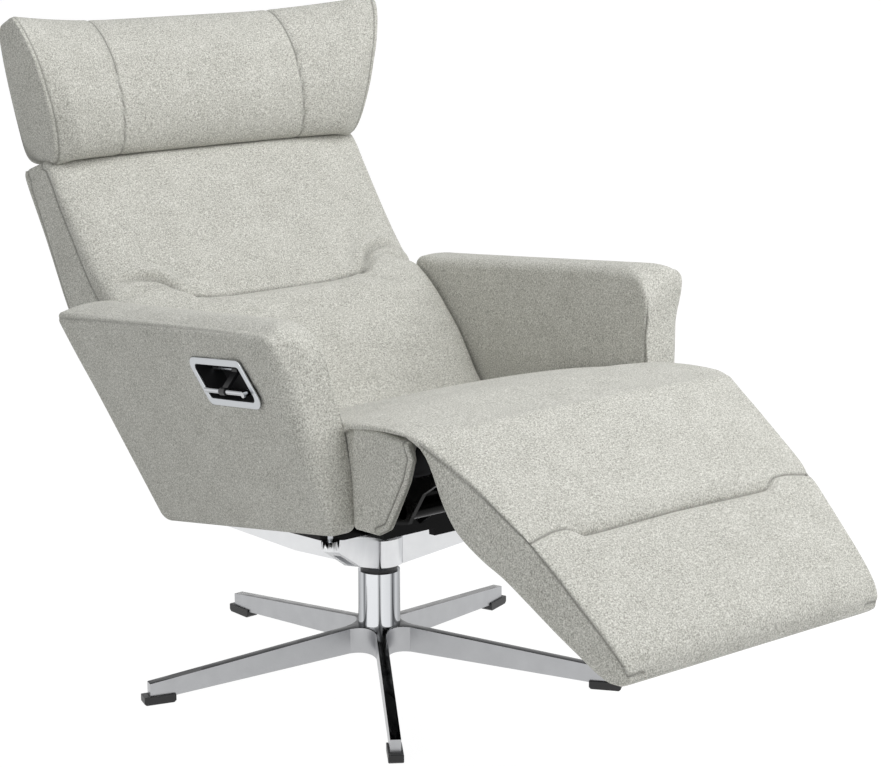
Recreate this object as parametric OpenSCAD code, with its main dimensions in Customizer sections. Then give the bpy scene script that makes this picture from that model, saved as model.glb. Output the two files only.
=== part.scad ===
// Star base swivel recliner whose footrest follows the back.
// The origin is on the swivel axis at floor level. +Z is up, the front is -Y, the sitter's right is -X.
// The chair is drawn half reclined, with the footrest out.

/* [Star base] */
// Number of legs
leg_count = 5; // [4:1:6]
// Angle of the first leg from +X
leg_turn = 20; // [0:1:70]
// Reach of a leg from the swivel axis
leg_reach = 331; // [280:1:380]
// Thickness of a leg
leg_t = 14; // [10:0.5:18]
// Height of a leg's top edge at the column
leg_root_h = 70; // [60:0.5:80]
// Height of a leg's top edge at its end
leg_tip_h = 29; // [26:0.5:34]
// Depth of a leg at the column
leg_root_depth = 36; // [28:0.5:42]
// Radius of the fillets between neighbouring legs
leg_fillet_r = 30; // [20:1:40]
// Length of a glide along the leg
glide_l = 44; // [38:1:56]
// Width of a glide
glide_w = 20; // [18:0.5:26]
// Height of a glide
glide_h = 12; // [11.5:0.5:18]
// Thickness of the glide under the leg
glide_sole = 9; // [6:0.5:10.5]

/* [Column] */
// Radius of the column tube
column_r = 29; // [26:0.5:32]
// Wall of the column tube
column_wall = 3.5; // [2.5:0.5:5]
// Height of the column tube's top above the floor
column_top_z = 147; // [130:1:180]
// Radius of the spindle
spindle_r = 16; // [14:0.5:18]
// Height of each column bush
bush_h = 20; // [14:1:28]
// Radius of the spindle's neck under the yoke
neck_r = 11; // [9:0.5:13]
// Thickness of the upper bush's flange
bush_flange = 4; // [3:0.5:6]

/* [Yoke] */
// Angle of a yoke arm from the side-to-side line
yoke_angle = 35; // [30:1:40]
// Reach of a yoke arm from the swivel axis
yoke_reach = 205; // [190:1:212]
// Thickness of a yoke arm
yoke_t = 22; // [20:1:28]
// Rise of the yoke's ends over the underside of its hub
yoke_rise = 81; // [76:1:83]
// Radius of the yoke hub
yoke_hub_r = 34; // [30:1:38]
// Height of the yoke hub
yoke_hub_h = 38; // [32:1:44]
// Slope of the mechanism base, front up
mech_slope = 4.4; // [3:0.1:5.5]

/* [Seat geometry] */
// Height of the knee hinge above the column's top
knee_rise = 265; // [255:1:280]
// Distance of the knee hinge in front of the swivel axis
knee_reach = 392; // [380:1:410]
// Height of the recline hinge above the column's top
hip_rise = 178; // [170:1:190]
// Distance of the recline hinge behind the swivel axis
hip_back = 95; // [88:1:105]
// Height of the seat's tilt pivot above the column's top
tilt_rise = 149; // [144:1:154]
// Distance of the seat's tilt pivot in front of the swivel axis
tilt_reach = 185; // [178:1:190]
// Drop of the back's crank below the recline hinge
crank_drop = 70; // [66:1:72]
// Distance of the crank in front of the recline hinge
crank_lead = 20; // [16:1:24]
// Upright end of the back's travel, in degrees
recline_up = 16; // [8:1:16]
// Flat end of the back's travel, in degrees
recline_down = 8; // [4:1:8]
// Seat tilt for each degree of recline
tilt_ratio = 0.3; // [0.2:0.05:0.3]

/* [Seat] */
// Half width of the seat cushion between the arms
seat_half_w = 243; // [236:1:244]
// Half width of the seat cushion between the cheeks
nose_half_w = 213; // [212:0.5:213.5]
// Radius of the seat's rolled front edge
nose_r = 44; // [42:0.5:45]
// Thickness of the roll over the knee tube
nose_t = 17; // [14:0.5:18]
// Thickness of the seat cushion at its middle
seat_t = 86; // [76:1:92]

/* [Steel frame] */
// Distance of a side plate's inner face from the middle
plate_x = 205; // [204.5:0.5:206]
// Thickness of the side plates
plate_t = 6; // [5:0.5:6.5]
// Depth of the side plates
plate_depth = 45; // [38:1:50]
// Radius of the frame's cross tubes
tube_r = 12; // [10:0.5:13]
// Radius of the knee tube
knee_tube_r = 10; // [8:0.5:11]
// Radius of the crank shaft
crank_r = 6; // [5:0.5:7]
// Thickness of the tilt rails and of the mechanism's ears
ear_t = 6; // [5:0.5:7]
// Width of a webbing strap
strap_w = 50; // [40:1:55]
// Number of webbing straps
strap_count = 6; // [4:1:6]

/* [Back] */
// Lean of the back from upright
back_lean = 38; // [36:0.5:40]
// Height of the back along its own line, above the recline hinge
back_h = 462; // [450:1:470]
// Half width of the back at its top
back_top_half_w = 275; // [264:1:280]
// Half width of the back between the arms
back_low_half_w = 246; // [240:1:246]
// Depth of the lumbar roll in front of the hinge line
lumbar_f = 54; // [48:1:54]
// Height of the sewn channel above the recline hinge
back_channel_v = 230; // [224:1:238]
// Radius of the back frame's tubes
back_tube_r = 8; // [7:0.5:8.5]
// Thickness of the upholstered rear shell
shell_t = 12; // [9:0.5:13]

/* [Headrest] */
// Half width of the headrest
head_half_w = 311; // [294:1:316]
// Height of the headrest along its own line
head_h = 202; // [186:1:208]
// Lean of the headrest from upright
head_lean = 24; // [20:1:26]
// Forward reach of the wings past the middle
wing_reach = 68; // [50:1:75]
// Thickness of the headrest at its edges
head_t = 74; // [64:1:80]
// Crown of the headrest's front at half its height
head_crown = 38; // [20:1:44]

/* [Footrest] */
// Slope of the footrest below level
foot_slope = 33.8; // [31:0.1:36]
// Length of the footrest from the knee hinge to the toe
foot_l = 356; // [330:1:365]
// Half width of the footrest at the knee
foot_knee_half_w = 255; // [248:1:262]
// Half width of the footrest at the toe
foot_toe_half_w = 208; // [200:1:226]
// Height of the footrest cushion's top above the hinge line
foot_top_n = 66; // [60:1:68]
// Distance of the footrest's sewn channel from the knee hinge
foot_channel_u = 182; // [166:1:192]

/* [Arms] */
// Height of the arm's top above the column's top, at the front
arm_top_rise = 413; // [400:1:425]
// Crown of the arm's top across its thickness
arm_crown = 12; // [4:1:14]
// Distance of the arm's front above the seat, in front of the swivel axis
arm_front = 236; // [226:1:246]
// Distance of the arm's rear top behind the swivel axis
arm_rear = 254; // [246:1:262]
// Distance of the arm's outer face from the middle at its lowest edge
arm_low_x = 271; // [268:1:285]
// Outward flare of the arm's outer face
arm_flare = 72; // [64:1:80]
// Distance of the arm's inner face from the middle at its lowest edge
arm_inner_x = 248; // [247.5:0.5:250]
// Radius of the arm's front top corner
arm_corner_r = 55; // [40:1:60]

/* [Release handle] */
// Length of the bezel
bezel_l = 122; // [114:1:130]
// Height of the bezel
bezel_h = 62; // [58:1:66]
// Width of the bezel's frame
bezel_w = 9; // [7:0.5:10]
// Forward slant of the bezel's ends, going down
bezel_slant = 0.47; // [0.2:0.01:0.5]
// Depth of the handle recess
recess_d = 32; // [28:1:34]
// Distance of the bezel's middle in front of the swivel axis
bezel_front = 131; // [120:1:140]
// Height of the bezel's middle above the column's top
bezel_rise = 337; // [330:1:345]
// Radius of the lever's bar
lever_bar_r = 3.2; // [2.5:0.1:4]

/* [Hidden] */

// Clearance of a running fit, of parts that are only set together, and of soft parts
run_gap = 0.05;
set_gap = 0.1;
soft_gap = 0.3;
// How far a cut runs past the face that it opens
over = 1;

function lerp(a, b, t) = a + (b - a) * t;
function smooth(t) = let (c = min(1, max(0, t))) c * c * (3 - 2 * c);
function power(s, e) = sign(s) * pow(abs(s), e);
function polar(r, a) = [r * cos(a), r * sin(a)];
// A turn that lowers the rear and lifts the front, seen from the sitter's left
function recline(p, a) = [p[0] * cos(a) + p[1] * sin(a), p[1] * cos(a) - p[0] * sin(a)];
function centre_of(p) = [for (k = [0 : len(p[0]) - 1]) let (s = [for (q = p) q[k]]) s * [for (q = p) 1 / len(p)]];
function circumcentre(a, b, c) =
    let (u = b - a, v = c - a, d = 2 * (u[0] * v[1] - u[1] * v[0]))
    a + [v[1] * (u * u) - u[1] * (v * v), u[0] * (v * v) - v[0] * (u * u)] / d;

// Hinge places in the side view, as [y, z]
knee = [-knee_reach, column_top_z + knee_rise];
hip = [hip_back, column_top_z + hip_rise];
tilt = [-tilt_reach, column_top_z + tilt_rise];
crank = hip + [-crank_lead, -crank_drop];

// Places of the leg's edges at a distance r from the axis
leg_run = leg_reach - column_r;
glide_start_r = leg_reach - 0.8 * glide_l;
function leg_top(r) = lerp(leg_root_h, leg_tip_h, (r - column_r) / leg_run);
function leg_low(r) =
    max(glide_sole, lerp(leg_root_h - leg_root_depth, glide_sole, (r - column_r) / (glide_start_r - column_r)));

// Column and spindle levels
hub_ledge = 10;
hub_low_z = leg_root_h - leg_root_depth;
ledge_z = hub_low_z + hub_ledge;
bore_r = column_r - column_wall;
washer_t = 3;
spindle_low_z = ledge_z + washer_t;
neck_z = column_top_z + bush_flange - 2;
yoke_z = column_top_z + bush_flange + 7;
bolt_r = 5;
bolt_head_h = 6;

// Yoke and mechanism levels
yoke_top_z = yoke_z + yoke_hub_h;
yoke_end_h = 15;
yoke_end_x = yoke_reach * cos(yoke_angle);
yoke_end_y = yoke_reach * sin(yoke_angle);
mech_mid_z = yoke_z + yoke_rise;
rail_w = 22;
rail_h = 14;
ear_x = 56;
stack_gap = 2;
small_bolt_r = 4;
pad_r = 12;

// Seat levels. The underside of the cushion runs in a straight line along the straps.
under_rear = [hip[0] - 45, hip[1] - 7];
under_front = [knee[0] + 47, knee[1] - 24];
function under_z(y) = lerp(under_rear[1], under_front[1], (y - under_rear[0]) / (under_front[0] - under_rear[0]));
strap_t = 2;
front_tube = [knee[0] + 70, knee[1] - 70];
rear_tube = [hip[0] - 75, hip[1] - 25];
ear_r = 18;
recline_pin_r = 8;
nose_gap = 4;
plate_out_x = plate_x + plate_t;
rod_x = plate_x - 27.5;
rail_out_x = rod_x - 1;
rod_t = 5;
arm_plate_x = rod_x + rod_t + 5;
bracket_x = plate_x - 15;
push_lead = [-knee_reach / 33, -knee_rise / 12.6];
push_pin = knee + push_lead;
push_pin_r = 5;

// Gas spring along its own line, from the front bracket to the crank
gas_front = front_tube + [22, -24];
gas_line = crank - gas_front;
gas_l = norm(gas_line);
gas_angle = atan2(gas_line[1], gas_line[0]);
gas_r = 14;
gas_wall = 3;
gas_rod_r = 5;
gas_body_l = 0.52 * gas_l;
gas_eye_r = 12;
gas_slack = 2.2;

// Back, headrest and footrest frames
function back_point(p) = hip + p[0] * [sin(back_lean), cos(back_lean)] + p[1] * [-cos(back_lean), sin(back_lean)];
head_pivot = back_point([back_h + 40.5, -9.7]);
function head_point(p) =
    head_pivot + p[0] * [sin(head_lean), cos(head_lean)] + p[1] * [-cos(head_lean), sin(head_lean)];
function foot_point(p) =
    knee + p[0] * [-cos(foot_slope), -sin(foot_slope)] + p[1] * [-sin(foot_slope), cos(foot_slope)];

// Solids

// A closed skin over rings of equal length, with a crowned cap at each end
module skin(rings) {
    n = len(rings[0]);
    m = len(rings);
    points = concat([for (r = rings) each r], [centre_of(rings[0]), centre_of(rings[m - 1])]);
    faces = concat(
        [for (i = [0 : m - 2], j = [0 : n - 1])
            let (a = i * n + j, b = i * n + (j + 1) % n) each [[a, b + n, b], [a, a + n, b + n]]],
        [for (j = [0 : n - 1]) [m * n, j, (j + 1) % n]],
        [for (j = [0 : n - 1]) [m * n + 1, (m - 1) * n + (j + 1) % n, (m - 1) * n + j]]
    );
    polyhedron(points, faces);
}

// A cushion lofted through stations [top point, under point, half width, seam share]. The points
// are in a side view that place() turns into [y, z]. The seam share is the height of the widest
// line, over which the top is crowned. dip() sinks the top where a channel is sewn.
ring_n = 28;
crown_x_share = 0.4;
crown_h_share = 0.45;
boxy_share = 0.07;
module cushion(stations, place, dip) {
    skin([for (s = stations)
        [for (j = [0 : ring_n - 1])
            let (
                a = 360 * (j + 0.5) / ring_n,
                up = sin(a) > 0,
                x = s[2] * power(cos(a), up ? crown_x_share : boxy_share),
                h = up ? s[3] + (1 - s[3]) * pow(sin(a), crown_h_share) : s[3] * (1 - pow(-sin(a), boxy_share)),
                q = lerp(s[1], s[0], h),
                d = s[0] - s[1],
                p = q - (up ? dip(q[0], x) * d / max(norm(d), over) : 0 * d),
                w = place(p)
            )
            [x, w[0], w[1]]]]);
}

// A point list with its corners rounded and moved in by d, and points along its straight stretches
corner_n = 5;
edge_n = 4;
function inset_corner(p, i, d) =
    let (n = len(p), b = p[i], a = p[(i + n - 1) % n], c = p[(i + 1) % n],
        u = (a - b) / norm(a - b), v = (c - b) / norm(c - b))
    b + (u + v) / norm(u + v) * d / sin(acos(u * v) / 2);
function rounded(p0, radii0, d, m = edge_n) =
    let (
        n = len(p0), p = [for (i = [0 : n - 1]) inset_corner(p0, i, d)],
        radii = [for (r = radii0) max(over, r - d)]
    )
    [for (i = [0 : n - 1])
        let (
            a = p[(i + n - 1) % n], b = p[i], c = p[(i + 1) % n],
            u = (a - b) / norm(a - b), v = (c - b) / norm(c - b),
            half = acos(u * v) / 2, t = radii[i] / tan(half),
            o = b + (u + v) / norm(u + v) * radii[i] / sin(half),
            s = b + u * t, e = b + v * t,
            next = p[(i + 1) % n], w = p[(i + 2) % n],
            un = (b - next) / norm(b - next), vn = (w - next) / norm(w - next),
            tn = radii[(i + 1) % n] / tan(acos(un * vn) / 2), f = next + un * tn,
            a0 = atan2(s[1] - o[1], s[0] - o[0]), a1 = atan2(e[1] - o[1], e[0] - o[0]),
            turn = (a1 - a0 + 540) % 360 - 180
        )
        each concat(
            [for (k = [0 : corner_n - 1]) o + polar(radii[i], a0 + turn * k / (corner_n - 1))],
            m > 1 ? [for (k = [1 : m - 1]) lerp(e, f, k / m)] : []
        )];

// An upholstered panel between an inner and an outer face. outline(s, d) gives its side view at the
// share s of its thickness, moved in by d.
pad_edge = 9;
pad_shares = [
    // share of the thickness, inset as a share of the edge, crown
    [0, 3, 1], [0, 1, 0.35], [0.04, 0.4, 0], [0.14, 0, 0], [0.4, 0, 0], [0.65, 0, 0], [0.86, 0, 0],
    [0.96, 0.4, 0], [1, 1, 0.35], [1, 3, 1]
];
module pad(outline, inner, outer, edge, crown) {
    skin([for (s = pad_shares)
        [for (p = outline(s[0], s[1] * edge))
            [lerp(inner(p), outer(p), s[0]) + (s[0] < 0.5 ? 0 : crown * s[2]), p[0], p[1]]]]);
}

// A plate of thickness t whose side view lies in Y and Z, from x outwards
module side_plate(x, t) {
    translate([x, 0, 0]) rotate([90, 0, 90]) linear_extrude(t) children();
}

// The same on both sides of the chair
module both_sides() {
    children();
    mirror([1, 0, 0]) children();
}

// A cylinder along X about a point of the side view, from x0 to x1
module rod_x(p, r, x0, x1) {
    translate([x0, p[0], p[1]]) rotate([0, 90, 0]) cylinder(r = r, h = x1 - x0, $fn = 48);
}

module disc_at(p, r) {
    translate(p) circle(r = r, $fn = 48);
}

// A round outline made of flats, for hollows in soft parts
module hollow_at(p, r) {
    flats = 20;
    polygon([for (k = [0 : flats - 1]) p + polar(r / cos(180 / flats), 360 * k / flats)]);
}

// A straight bar of half width w between two points of the side view
module bar_2d(a, b, w) {
    d = (b - a) / norm(b - a);
    n = w * [-d[1], d[0]];
    polygon([a - n, b - n, b + n, a + n]);
}

// Base

module leg_plan(grow) {
    for (k = [0 : leg_count - 1]) rotate(leg_turn + k * 360 / leg_count)
        translate([0, -leg_t / 2 - grow]) square([leg_reach + grow, leg_t + 2 * grow]);
}

module star_base() {
    half = 180 / leg_count;
    reach = (leg_fillet_r + leg_t / 2) / sin(half);
    run = reach * cos(half);
    far = leg_reach + leg_t;
    color("silver") difference() {
        intersection() {
            linear_extrude(leg_root_h + over) union() {
                leg_plan(0);
                disc_at([0, 0], column_r + column_wall);
                for (k = [0 : leg_count - 1]) rotate(leg_turn + half + k * 360 / leg_count) difference() {
                    polygon([[0, 0], polar(run, -half), polar(run, half)]);
                    disc_at([reach, 0], leg_fillet_r);
                }
            }
            rotate_extrude($fn = 96) polygon([
                [0, leg_low(column_r)], [column_r, leg_low(column_r)], [glide_start_r, leg_low(glide_start_r)],
                [far, leg_low(far)], [far, leg_top(far)], [column_r, leg_top(column_r)], [0, leg_top(column_r)]
            ]);
        }
        translate([0, 0, ledge_z]) cylinder(r = column_r + set_gap, h = leg_root_h, $fn = 96);
        cylinder(r = bolt_r + over, h = leg_root_h, $fn = 96);
    }
}

module foot_glides() {
    corner = glide_w / 8;
    wall = (glide_w - leg_t) / 2 - set_gap;
    color("#1a1a1b") for (k = [0 : leg_count - 1]) rotate(leg_turn + k * 360 / leg_count) difference() {
        translate([glide_start_r, 0, 0]) rotate([90, 0, 0]) translate([0, 0, -glide_w / 2])
            linear_extrude(glide_w) polygon([
                [corner, 0], [glide_l - corner, 0], [glide_l, corner], [glide_l, glide_h], [0, glide_h], [0, corner]
            ]);
        translate([glide_start_r - over, wall - glide_w / 2, glide_sole - set_gap])
            cube([leg_reach - glide_start_r + over + set_gap, glide_w - 2 * wall, glide_h]);
    }
}

module column_tube() {
    color("#d5d7d9") difference() {
        translate([0, 0, ledge_z]) cylinder(r = column_r, h = column_top_z - ledge_z, $fn = 96);
        cylinder(r = bore_r, h = column_top_z + over, $fn = 96);
    }
}

module bush_ring(z, h) {
    translate([0, 0, z]) difference() {
        cylinder(r = bore_r - set_gap, h = h, $fn = 96);
        translate([0, 0, -over]) cylinder(r = spindle_r, h = h + 2 * over, $fn = 96);
    }
}

module lower_bush() {
    color("#222223") bush_ring(spindle_low_z + set_gap, bush_h);
}

module upper_bush() {
    color("#161617") union() {
        bush_ring(column_top_z - bush_h, bush_h);
        translate([0, 0, column_top_z]) difference() {
            cylinder(r = column_r - column_wall, h = bush_flange, $fn = 96);
            translate([0, 0, -over]) cylinder(r = spindle_r, h = bush_flange + 2 * over, $fn = 96);
        }
    }
}

module thrust_washer() {
    color("#dedcd2") translate([0, 0, ledge_z]) difference() {
        cylinder(r = bore_r - over, h = washer_t - run_gap, $fn = 64);
        translate([0, 0, -over]) cylinder(r = bolt_r + over, h = washer_t + 2 * over, $fn = 48);
    }
}

// Swivel

module retaining_washer() {
    color("#b9bcc0") translate([0, 0, hub_low_z - washer_t - run_gap]) difference() {
        cylinder(r = spindle_r, h = washer_t, $fn = 64);
        translate([0, 0, -over]) cylinder(r = bolt_r + set_gap, h = washer_t + 2 * over, $fn = 48);
    }
}

module spindle() {
    color("#cfd2d6") difference() {
        union() {
            translate([0, 0, spindle_low_z]) cylinder(r = spindle_r - run_gap, h = neck_z - spindle_low_z, $fn = 96);
            translate([0, 0, spindle_low_z]) cylinder(r = neck_r, h = yoke_top_z - spindle_low_z, $fn = 96);
        }
        translate([0, 0, spindle_low_z - over]) cylinder(r = bolt_r + run_gap, h = bush_h + over, $fn = 48);
    }
}

module spindle_bolt() {
    low = hub_low_z - washer_t - run_gap;
    color("#8d9095") union() {
        translate([0, 0, low]) cylinder(r = bolt_r, h = spindle_low_z + bush_h - over - low, $fn = 48);
        translate([0, 0, low - bolt_head_h]) cylinder(r = 1.7 * bolt_r, h = bolt_head_h, $fn = 6);
    }
}

// The places of the four yoke ends, as the side and the end that each is on
yoke_ends = [for (sx = [-1, 1], sy = [-1, 1]) [sx, sy]];
function yoke_turn(e) = atan2(e[1] * yoke_end_y, e[0] * yoke_end_x);
function mech_z(y) = mech_mid_z - y * tan(mech_slope);
function end_z(sy) = mech_z(sy * yoke_end_y);
// The lower edge of a yoke arm is slack near the hub and steeper towards its end
yoke_bend_r = 0.56 * yoke_reach;
yoke_bend_share = 0.37;
function yoke_low(r, sy) =
    lookup(r, [[yoke_hub_r, 0], [yoke_bend_r, yoke_bend_share], [yoke_reach, 1]]) * (end_z(sy) - yoke_end_h - yoke_z) + yoke_z;

module yoke() {
    wall = 0.27 * yoke_t;
    groove_r = 1.5 * yoke_hub_r;
    groove_end = yoke_reach - 2 * pad_r;
    web = 0.3 * yoke_hub_h;
    color("#dcdee0") difference() {
        union() {
            translate([0, 0, yoke_z]) cylinder(r = yoke_hub_r, h = yoke_hub_h, $fn = 96);
            for (e = yoke_ends) rotate(yoke_turn(e)) rotate([90, 0, 0]) translate([0, 0, -yoke_t / 2])
                linear_extrude(yoke_t) polygon([
                    [yoke_hub_r / 2, yoke_z], [yoke_hub_r, yoke_z], [yoke_bend_r, yoke_low(yoke_bend_r, e[1])],
                    [yoke_reach, yoke_low(yoke_reach, e[1])], [yoke_reach, end_z(e[1]) + over],
                    [yoke_reach - 1.5 * pad_r, end_z(e[1]) + over], [yoke_hub_r / 2, yoke_top_z]
                ]);
            for (e = yoke_ends) translate([e[0] * yoke_end_x, e[1] * yoke_end_y, end_z(e[1]) - pad_r])
                cylinder(r = pad_r, h = pad_r + over, $fn = 48);
        }
        translate([0, 0, mech_mid_z - run_gap]) rotate([-mech_slope, 0, 0]) translate([-yoke_reach, -yoke_reach, 0])
            cube([2 * yoke_reach, 2 * yoke_reach, yoke_rise]);
        for (e = yoke_ends) rotate(yoke_turn(e)) rotate([90, 0, 0]) translate([0, 0, wall - yoke_t / 2])
            linear_extrude(yoke_t - 2 * wall) polygon([
                [groove_r, yoke_z - over], [groove_end, yoke_z - over], [groove_end, yoke_low(groove_end, e[1]) + web / 2],
                [yoke_bend_r, yoke_low(yoke_bend_r, e[1]) + web], [groove_r, yoke_low(groove_r, e[1]) + web]
            ]);
        translate([0, 0, yoke_z - over]) cylinder(r = neck_r, h = yoke_hub_h + 2 * over, $fn = 96);
        for (e = yoke_ends) translate([e[0] * yoke_end_x, e[1] * yoke_end_y, yoke_z])
            cylinder(r = small_bolt_r + set_gap, h = 2 * yoke_rise + yoke_hub_h, $fn = 48);
    }
}

// The slot in which the crank shaft guides the rear of the seat is an arc through three of its places
function crank_at(a) = tilt + recline(hip - tilt + recline(crank - hip, a), tilt_ratio * a);
slot_a = crank_at(-recline_up - over);
slot_b = crank_at(0);
slot_c = crank_at(recline_down + over);
slot_o = circumcentre(slot_a, slot_b, slot_c);
slot_r = norm(slot_b - slot_o);
slot_w = crank_r + 0.6;

module guide_slot_2d() {
    far = 2 * slot_r;
    middle = (slot_a + slot_c) / 2 - slot_o;
    start = slot_o + far * (slot_a - slot_o) / slot_r;
    end = slot_o + far * (slot_c - slot_o) / slot_r;
    intersection() {
        difference() {
            disc_at(slot_o, slot_r + slot_w);
            disc_at(slot_o, slot_r - slot_w);
        }
        polygon([slot_o, start, slot_o + far * middle / norm(middle), end]);
    }
    disc_at(slot_a, slot_w);
    disc_at(slot_c, slot_w);
}

mech_y = yoke_end_y + pad_r;
shelf_l = 40;
shelf_half_w = 121;
module mechanism_base() {
    front = mech_y + shelf_l;
    lip_h = 1.5 * rail_h;
    nib = 38;
    color("#101011") difference() {
        union() {
            translate([0, 0, mech_mid_z]) rotate([-mech_slope, 0, 0]) {
                linear_extrude(rail_h) difference() {
                    polygon([
                        [-rail_out_x, mech_y], [rail_out_x, mech_y], [rail_out_x, rail_w - mech_y],
                        [rail_out_x - rail_w, -mech_y], [shelf_half_w, -mech_y], [shelf_half_w, -front],
                        [-shelf_half_w, -front], [-shelf_half_w, -mech_y], [rail_w - rail_out_x, -mech_y],
                        [-rail_out_x, rail_w - mech_y]
                    ]);
                    translate([rail_w - rail_out_x, -mech_y + shelf_l])
                        square([2 * (rail_out_x - rail_w), 2 * (mech_y - shelf_l)]);
                }
                translate([-shelf_half_w, -front, 0]) cube([2 * shelf_half_w, ear_t, lip_h]);
                translate([-nib, -front, -0.7 * rail_h]) cube([2 * nib, 2 * ear_t, rail_h]);
            }
            both_sides() side_plate(ear_x, ear_t) {
                disc_at(tilt, ear_r);
                polygon([
                    [-front + ear_t, mech_z(-front) + rail_h / 2], tilt + polar(ear_r, 215),
                    tilt + polar(ear_r, 60), [-mech_y + 0.8 * shelf_l, mech_z(-mech_y) + rail_h / 2]
                ]);
            }
            both_sides() side_plate(ear_x, ear_t) polygon([
                [mech_y - over, mech_z(mech_y) + rail_h / 2], [mech_y - over, mech_z(mech_y) + 2 * rail_h],
                slot_a + [2.2 * slot_w, 3 * slot_w], slot_a + [-slot_w, 3 * slot_w],
                slot_c + [-2.8 * slot_w, slot_w], slot_c + [-2.4 * slot_w, -1.6 * slot_w],
                slot_c + [slot_w, -2.2 * slot_w], [mech_y - 0.98 * shelf_l, mech_z(mech_y) + rail_h / 2]
            ]);
        }
        rod_x(tilt, crank_r + run_gap, -plate_x, plate_x);
        both_sides() side_plate(ear_x - over, ear_t + 2 * over) guide_slot_2d();
        // Notches in the side rails, over which the shaft passes
        both_sides() side_plate(rail_out_x - rail_w - over, rail_w + 2 * over) polygon([
            slot_a + [2 * slot_w, 2 * rail_h], slot_a + [2 * slot_w, 0], slot_b + [1.5 * slot_w, -1.3 * slot_w],
            slot_c + [0, -1.5 * slot_w], slot_c + [-1.5 * slot_w, -1.3 * slot_w], slot_c + [-2.5 * slot_w, 2 * rail_h]
        ]);
        for (e = yoke_ends) translate([e[0] * yoke_end_x, e[1] * yoke_end_y, yoke_z])
            cylinder(r = small_bolt_r + set_gap, h = 2 * yoke_rise + yoke_hub_h, $fn = 48);
    }
}

module yoke_bolts() {
    color("#c4c7ca") for (e = yoke_ends)
        translate([e[0] * yoke_end_x, e[1] * yoke_end_y, end_z(e[1]) + rail_h + over]) {
            translate([0, 0, -rail_h - pad_r]) cylinder(r = small_bolt_r, h = rail_h + pad_r, $fn = 32);
            cylinder(r = 1.8 * small_bolt_r, h = small_bolt_r, $fn = 6);
        }
}

module tilt_pins() {
    rail_x = ear_x + ear_t + stack_gap;
    color("#c4c7ca") both_sides() union() {
        rod_x(tilt, crank_r, ear_x - over, rail_x + ear_t + over);
        rod_x(tilt, 1.8 * crank_r, ear_x - 2 * over - crank_r / 2, ear_x - over);
        rod_x(tilt, 1.8 * crank_r, rail_x + ear_t + over, rail_x + ear_t + over + crank_r / 2);
    }
}

// Seat frame

module seat_plate_2d() {
    top = -2 * soft_gap;
    difference() {
        union() {
            disc_at(knee, ear_r);
            disc_at(hip, ear_r + 2);
            polygon([
                under_front + [0, top], under_rear + [0, top], hip + polar(ear_r, 160), hip + polar(ear_r, -20),
                [hip[0] - ear_r / 2, under_rear[1] - plate_depth], [under_rear[0], under_rear[1] - plate_depth],
                front_tube + polar(1.5 * tube_r, -80), front_tube + polar(1.5 * tube_r, -130),
                front_tube + polar(1.5 * tube_r, 190), knee + [30, -40], knee + polar(ear_r, 215), knee + polar(ear_r, -38)
            ]);
        }
        disc_at(knee, knee_tube_r + set_gap);
        disc_at(hip, recline_pin_r + set_gap);
        disc_at(front_tube, tube_r + set_gap);
        disc_at(rear_tube, tube_r + set_gap);
    }
}

module seat_side_plates() {
    color("#141415") both_sides() difference() {
        side_plate(plate_x, plate_t) seat_plate_2d();
        for (b = arm_bolt_places) rod_x(b, small_bolt_r + set_gap, plate_x - over, plate_out_x + over);
    }
}

module seat_cross_tubes() {
    color("#141415") for (p = [front_tube, rear_tube]) difference() {
        rod_x(p, tube_r, -plate_out_x, plate_out_x);
        rod_x(p, tube_r - 2, -plate_out_x - over, plate_out_x + over);
    }
}

module knee_tube() {
    color("#2a2b2c") difference() {
        rod_x(knee, knee_tube_r, -plate_out_x, plate_out_x);
        rod_x(knee, knee_tube_r - 2, -plate_out_x - over, plate_out_x + over);
    }
}

module tilt_rails() {
    color("#1b1c1d") both_sides() difference() {
        side_plate(ear_x + ear_t + stack_gap, ear_t) {
            bar_2d(front_tube, rear_tube, 1.3 * tube_r);
            disc_at(front_tube, 1.5 * tube_r);
            disc_at(rear_tube, 1.5 * tube_r);
            disc_at(tilt, ear_r);
            polygon([tilt + polar(ear_r, 180), tilt + polar(ear_r, 0), lerp(front_tube, rear_tube, 0.6),
                lerp(front_tube, rear_tube, 0.2)]);
        }
        for (p = [front_tube, rear_tube]) rod_x(p, tube_r + set_gap, 0, plate_x);
        rod_x(tilt, crank_r + run_gap, 0, plate_x);
    }
}

module recline_pins() {
    color("#c4c7ca") both_sides() union() {
        rod_x(hip, recline_pin_r, bracket_x - over, plate_out_x + over);
        rod_x(hip, 1.5 * recline_pin_r, bracket_x - over - recline_pin_r / 2, bracket_x - over);
        rod_x(hip, 1.5 * recline_pin_r, plate_out_x + over, plate_out_x + over + recline_pin_r / 2);
    }
}

module seat_webbing() {
    run = under_front - under_rear;
    turn = atan2(run[1], -run[0]);
    pitch = (norm(run) - strap_w) / strap_count;
    color("#2b2b2d") for (k = [0 : strap_count - 1]) {
        p = under_rear + (strap_w / 2 + (k + 0.5) * pitch) * run / norm(run);
        translate([0, p[0], p[1] - strap_t / 2 - soft_gap]) rotate([-turn, 0, 0])
            cube([2 * (plate_x - soft_gap), min(strap_w, pitch - soft_gap), strap_t], center = true);
    }
}

// Arm brackets run from the side plate to the arm, two on each side
arm_bolt_places = [
    [front_tube[0] + 120, under_z(front_tube[0] + 120) - plate_depth / 2],
    [rear_tube[0] - 32, under_z(rear_tube[0] - 32) - plate_depth / 2]
];
bracket_l = 44;
bracket_h = 30;
bracket_end_x = arm_inner_x + 10;

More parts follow.
